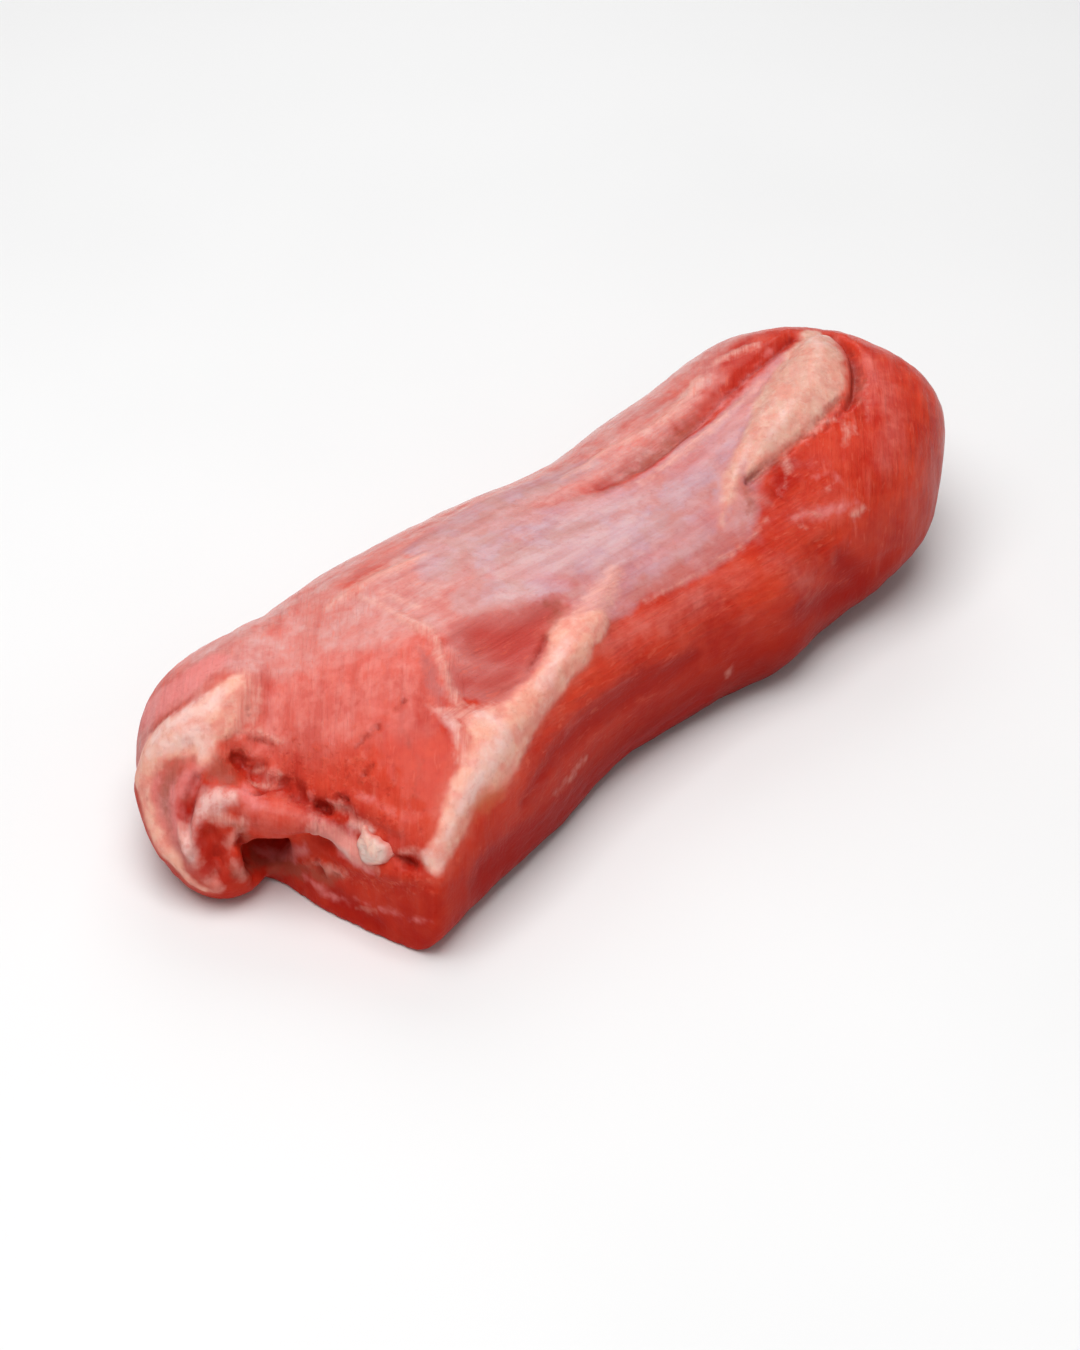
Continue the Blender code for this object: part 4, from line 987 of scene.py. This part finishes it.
def meat_material(hues):
    """Muscle, silverskin, fat and creases in one skin, each laid over the one below by its depth."""
    look = MeatLook("raw veal")
    medium, mottle, shreds = look.patches("medium"), look.patches("mottle"), look.patches("shreds")
    fat, raw, torn, ragged = look.edge("fat"), look.edge("raw"), look.edge("torn"), look.edge("ragged")
    blushing = look.plus(look.level(look.bundles, 0.0, 1.0, 0.42, 0.56), look.times(mottle, 0.3))
    veiling = look.plus(look.level(look.fibres, 0.0, 1.0, 0.6, 0.7), look.times(mottle, 0.2))
    veil = look.times(look.edge("veil"), veiling)
    film = look.times(look.edge("film"), look.level(look.depth("film"), 0.0, 9.0, 0.62, 1.0))
    bare = look.rest(look.most(fat, film))
    lean = look.rest(look.times(fat, 0.8))
    lit = look.level(look.high, 8.0, 36.0, 0.15, 1.0)
    hollows = look.times(look.level(look.depth("relief"), 0.05, -0.45), look.between(ragged, 0.22, 0.45))
    ridges = look.times(look.level(look.depth("relief"), 0.1, 0.5), look.between(ragged, 0.16, 0.45))
    past_lobe = look.level(look.lengthwise, -92.0, -84.0, 0.0, 0.3)
    skin = look.layers(
        muscle_colour(look, hues),
        (hues.blush, look.edge("blush"), blushing),
        (look.layers(hues.veil_rosy, (hues.veil, medium)), veil),
        (silverskin_colour(look, hues), film, look.level(look.fibres, 0.0, 1.0, 0.87, 0.95)),
        (window_colour(look, hues), look.edge("deep")),
        (hues.muscle_fibre, torn, shreds, 0.5),
        (hues.raw, torn, look.patches("holes"), 0.6),
        # Coral: bright cut muscle, and painted light along the head's right edge (head_rim).
        (hues.coral, look.edge("coral"), look.level(shreds, 0.0, 1.0, 0.35, 0.6)),
        # Umber: brownish skin, and painted shade along the pad's lower edge and the crease's lower border.
        (hues.umber, look.edge("umber"), 0.7),
        # Rosy: pink skin, and painted light in the cavity under the tongue.
        (hues.rosy, look.edge("rosy"), 0.75),
        # Pale: loose membranes, and painted highlights in the spots on the head.
        (hues.membrane, look.edge("pale"), look.level(look.fibres, 0.0, 1.0, 0.45, 0.8)),
        (hues.fat_edge, look.edge("under_fat", look.plus(look.depth("fat"), 1.8)), look.rest(raw), 0.3),
        (fat_colour(look, hues), fat, 0.94),
        (hues.stain, look.edge("stain"), 0.7),
        # Sheen: the lobe's glossy white membrane, and painted highlight on the rim, seams, pad and strip.
        (hues.sheen, look.edge("sheen"), look.level(mottle, 0.0, 1.0, 0.7, 0.35)),
        (hues.raw, look.patches("specks"), 0.14),
        # Painted light: shade in the hollows of the fine lumps, highlights on their ridges, glints along the
        # fibres, shade in creases.
        (look.layers(hues.raw, (hues.crease, ragged)), hollows, lean),
        (hues.blush, lean, lit, ridges),
        (hues.muscle_fibre, look.along_fibres("glints"), bare, lit, past_lobe),
        (hues.crease, look.edge("dark"), 0.7),
    )
    dull = look.between(fat, look.level(look.fibres, 0.0, 1.0, 0.4, 0.5), 0.5)
    dull = look.between(film, dull, look.level(look.patches("clouds"), 0.0, 1.0, 0.33, 0.42))
    damp = look.level(look.most(look.times(veil, 0.8), film), 0.0, 1.0, 0.4, 0.7)
    coat = look.times(damp, look.level(look.high, 14.0, 42.0, 0.02, 1.0))
    grain = look.plus(look.times(look.fibres, 0.6), look.times(look.bundles, 0.8))
    height = look.plus(
        look.times(grain, look.calc("MULTIPLY_ADD", bare, 0.10, 0.02)),
        look.times(look.patches("grains"), fat, 0.025),
        look.times(look.threads, film, 0.06),
        look.times(torn, shreds, 0.15),
        look.times(look.patches("pores"), 0.05),
    )
    return look.wet_surface(hues, {"Base Color": skin, "Roughness": dull, "Coat Weight": coat}, height)


def fat_material(hues):
    """Bare white fat: cream and grainy, pinker where it sinks into the meat."""
    look = Look("white fat")
    grains = look.patches("white_grains")
    skin = look.layers(
        hues.fat_white,
        (hues.fat_light, look.patches("white_warm")),
        (hues.fat_pink, grains, 0.3),
        (hues.fat_foot, look.level(look.depth("above"), 0.0, 2.0, 1.0, 0.0)),
    )
    values = {"Base Color": skin, "Roughness": look.level(grains, 0.0, 1.0, 0.4, 0.52), "Coat Weight": 0.8}
    return look.wet_surface(hues, values, look.times(grains, 0.12))


def floor_material(settings):
    """A pale, dull table top, barely clouded."""
    look = Look("pale table")
    shade = tuple(0.975 * part for part in settings.floor_colour)
    top = look.layers(settings.floor_colour, (shade, look.patches("table")))
    return look.surface({"Base Color": top, "Roughness": 0.7, "Specular IOR Level": 0.2})


# Stage


def soft_box(name, power, side, place):
    """A square soft light that faces the meat."""
    light = bpy.data.lights.new(name, "AREA")
    light.shape = "SQUARE"
    light.size = side
    light.energy = power
    lamp = bpy.data.objects.new(name, light)
    lamp.location = place
    lamp.rotation_euler = (Vector(place) - LIGHTS_AIM).to_track_quat("Z", "Y").to_euler()
    bpy.context.scene.collection.objects.link(lamp)


def light_room(scene, strength):
    """Fills the room with an even white light."""
    scene.world = bpy.data.worlds.new("room")
    scene.world.use_nodes = True
    sky = scene.world.node_tree.nodes["Background"]
    sky.inputs["Color"].default_value = (1.0, 1.0, 1.0, 1.0)
    sky.inputs["Strength"].default_value = strength


def place_camera(scene, settings):
    """Looks at the meat from the photograph's angle and distance."""
    turn, rise = settings.azimuth, settings.elevation
    back = Vector((math.sin(turn) * math.cos(rise), -math.cos(turn) * math.cos(rise), math.sin(rise)))
    right = Vector((math.cos(turn), math.sin(turn), 0.0))
    up = back.cross(right)
    camera = bpy.data.objects.new("camera", bpy.data.cameras.new("camera"))
    camera.data.lens = settings.lens
    camera.rotation_euler = Matrix((right, up, back)).transposed().to_euler()
    camera.location = VIEW_CENTRE + VIEW_DISTANCE * back
    scene.collection.objects.link(camera)
    scene.camera = camera


# Settings


def linear(red, green, blue):
    """The scene's linear colour for a screen colour given in 0 to 255."""
    return tuple(
        level / 12.92 if level <= 0.04045 else ((level + 0.055) / 1.055) ** 2.4
        for level in (red / 255, green / 255, blue / 255)
    )


def colour(name, description, screen):
    return FloatVectorProperty(
        name=name, description=description, subtype="COLOR", size=3, min=0.0, max=1.0, default=linear(*screen)
    )


def number(name, description, default, **kind):
    return FloatProperty(name=name, description=description, default=default, **kind)


def length(name, description, default):
    return number(name, description, default, min=0.0, unit="LENGTH", precision=5)


def power(name, description, default):
    return number(name, description, default, min=0.0, unit="POWER")


def angle(name, description, degrees):
    return number(name, description, math.radians(degrees), subtype="ANGLE")


class MeatSettings(bpy.types.PropertyGroup):
    """Sizes and colours of the meat and its white fat"""

    skin_detail: length("Skin detail", "Distance between the skin's points", 0.85 * MM)
    soften_times: IntProperty(name="Softening", description="Smoothing passes", default=16, min=0)
    swell: length("Swell", "Height of the muscle's soft lumps", 0.7 * MM)
    fibre_depth: length("Fibre depth", "Depth of the grooves between fibres", 0.14 * MM)
    ruffle: length("Ruffle", "Height of the torn folds at the cut end", 0.7 * MM)
    glow_depth: length("Glow depth", "How far light spreads inside the tissue", 2.5 * MM)
    muscle: colour("Muscle", "Bright cut muscle", (214, 62, 38))
    muscle_deep: colour("Deep muscle", "Darker muscle between bundles", (188, 34, 18))
    muscle_bright: colour("Bright muscle", "Orange-red flecks in the muscle", (224, 82, 52))
    # Also the colour of the painted glints along the fibres.
    muscle_fibre: colour("Muscle fibre", "Light fibres in the muscle", (226, 104, 82))
    # Partly the lobe's own deep red, and partly painted shade low down and in the hollows of the fine lumps.
    raw: colour("Raw muscle", "The wettest, reddest muscle in folds and at the foot", (164, 16, 6))
    # Also painted highlight on the ridges of the fine lumps.
    blush: colour("Blush", "Pale pink muscle at the thick end", (228, 134, 124))
    veil: colour("Veil", "Muscle seen through a thin skin", (218, 168, 162))
    veil_rosy: colour("Rosy veil", "The thin skin's redder patches", (216, 142, 134))
    silverskin: colour("Silverskin", "The skin over the middle", (196, 147, 143))
    silverskin_lilac: colour("Lilac silverskin", "The skin's cooler patches", (190, 152, 164))
    silverskin_grey: colour("Grey silverskin", "The skin's duller flecks", (190, 150, 150))
    silverskin_light: colour("Light silverskin", "The skin's lightest clouds", (216, 180, 182))
    silverskin_shadow: colour("Silverskin threads", "Threads and shadows in the skin", (196, 126, 120))
    window: colour("Window", "Dark muscle under clear skin", (188, 82, 74))
    window_thin: colour("Window's edge", "That muscle where the skin over it thickens", (196, 104, 98))
    window_red: colour("Window red", "The reddest of that muscle", (188, 66, 58))
    # Partly the lobe's glossy white membrane, partly painted highlight on the rim, seams, pad and strip.
    sheen: colour("Sheen", "Glossy white skin on folds", (246, 212, 204))
    # Partly brownish skin, partly painted shade along the pad's lower edge and the crease's lower border.
    umber: colour("Umber", "Brownish dried and shadowed skin", (160, 78, 62))
    stain: colour("Stain", "Ochre stains on the edge of the fat", (206, 104, 66))
    # Along the head's right edge (head_rim) this is painted light.
    coral: colour("Coral", "Bright cut muscle at both ends", (214, 78, 60))
    # In the cavity under the tongue this is painted light.
    rosy: colour("Rosy skin", "Pink skin at the thick end", (232, 136, 132))
    # On the spots on the head this is painted highlight.
    membrane: colour("Membrane", "Loose pale threads and skins", (230, 166, 152))
    lump_detail: length("Lump detail", "Distance between the points of the white fat", 0.4 * MM)
    fat: colour("Fat", "The fat seams and pad", (242, 178, 156))
    fat_edge: colour("Fat edge", "Muscle that shows through the fat's thin edge", (226, 128, 110))
    fat_pink: colour("Pink fat", "Pinker patches of the fat", (236, 154, 138))
    fat_light: colour("Light fat", "The fat's light grains", (242, 198, 180))
    fat_dull: colour("Dull fat", "The drier fat toward the far end", (204, 164, 148))
    fat_white: colour("White fat", "The white lump at the cut", (222, 192, 181))
    fat_foot: colour("Foot of the white fat", "The lump where it sinks into the meat", (226, 134, 122))
    shade: colour("Shade", "The darkest muscle, low on the sides", (92, 20, 14))
    # Painted shade in creases, grooves, pits and the hollows of the fine lumps.
    crease: colour("Crease", "Dark creases and pits", (138, 20, 14))


class StageSettings(bpy.types.PropertyGroup):
    """The table, the lights and the camera"""

    floor_colour: colour("Floor", "The table under the meat", (240, 240, 240))
    floor_side: length("Floor side", "Width of the table", 4.0)
    key_power: power("Key light", "Power of the overhead soft box", 9.6)
    back_power: power("Back light", "Power of the soft box behind the meat", 3.0)
    fill_power: power("Fill light", "Power of the soft box by the camera", 0.9)
    room_light: number("Room light", "Strength of the even light around", 0.22)
    azimuth: angle("Camera azimuth", "Turn of the camera about the meat", -42.0)
    elevation: angle("Camera elevation", "Height of the camera as an angle", 40.0)
    lens: number("Lens", "Focal length in millimetres", 85.0)


# Operators and panel


class TENDERLOIN_OT_meat(bpy.types.Operator):
    """Make the meat's skin with its fat seams, silverskin, creases and fibres"""

    bl_idname = "tenderloin.meat"
    bl_label = "Meat"

    def execute(self, context):
        settings = context.scene.tenderloin_meat
        solid = new_piece("meat", merged_copy("tenderloin"))
        piece = even_skin(solid, settings.skin_detail, settings.soften_times)
        points = mesh_points(piece.data)[0] / MM
        tissues = {name: inside(points, routes.values()) for name, routes in MARKS.items()}
        tissues["relief"] = carve(piece.data, tissues, settings)
        keep_on_mesh(piece.data, tissues)
        finished(piece, meat_material(settings))
        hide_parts("tenderloin")
        return {"FINISHED"}


class TENDERLOIN_OT_white_fat(bpy.types.Operator):
    """Make the lump of white fat at the cut end"""

    bl_idname = "tenderloin.white_fat"
    bl_label = "White fat"

    def execute(self, context):
        settings = context.scene.tenderloin_meat
        piece = fat_lump("fat_nodule", NODULE, settings.lump_detail)
        keep_on_mesh(piece.data, {"above": height_over(piece, bpy.data.objects["meat"])})
        finished(piece, fat_material(settings))
        return {"FINISHED"}


class TENDERLOIN_OT_stage(bpy.types.Operator):
    """Lay the pale table, hang the soft lights and place the camera"""

    bl_idname = "tenderloin.stage"
    bl_label = "Stage"

    def execute(self, context):
        settings = context.scene.tenderloin_stage
        work = bmesh.new()
        bmesh.ops.create_grid(work, x_segments=1, y_segments=1, size=settings.floor_side / 2)
        floor = new_piece("table", work)
        floor.data.materials.append(floor_material(settings))
        for name, (side, place) in SOFT_LIGHTS.items():
            soft_box(name + "_light", getattr(settings, name + "_power"), side, place)
        light_room(context.scene, settings.room_light)
        place_camera(context.scene, settings)
        context.scene.view_settings.view_transform = "Standard"
        return {"FINISHED"}


class VIEW3D_PT_tenderloin(bpy.types.Panel):
    """The meat's and the stage's settings, and the buttons that make them"""

    bl_label = "Veal tenderloin"
    bl_space_type = "VIEW_3D"
    bl_region_type = "UI"
    bl_category = "Tenderloin"

    def draw(self, context):
        for group_name in ("tenderloin_meat", "tenderloin_stage"):
            settings = getattr(context.scene, group_name)
            for name in settings.__annotations__:
                self.layout.prop(settings, name)
        for operator in OPERATORS:
            self.layout.operator(operator.bl_idname)


OPERATORS = (TENDERLOIN_OT_meat, TENDERLOIN_OT_white_fat, TENDERLOIN_OT_stage)
CLASSES = (MeatSettings, StageSettings, *OPERATORS, VIEW3D_PT_tenderloin)


def register():
    for item in CLASSES:
        bpy.utils.register_class(item)
    bpy.types.Scene.tenderloin_meat = PointerProperty(type=MeatSettings)
    bpy.types.Scene.tenderloin_stage = PointerProperty(type=StageSettings)


def unregister():
    del bpy.types.Scene.tenderloin_stage
    del bpy.types.Scene.tenderloin_meat
    for item in reversed(CLASSES):
        bpy.utils.unregister_class(item)


def main():
    register()
    bpy.ops.tenderloin.meat()
    bpy.ops.tenderloin.white_fat()
    bpy.ops.tenderloin.stage()


if __name__ == "__main__":
    main()
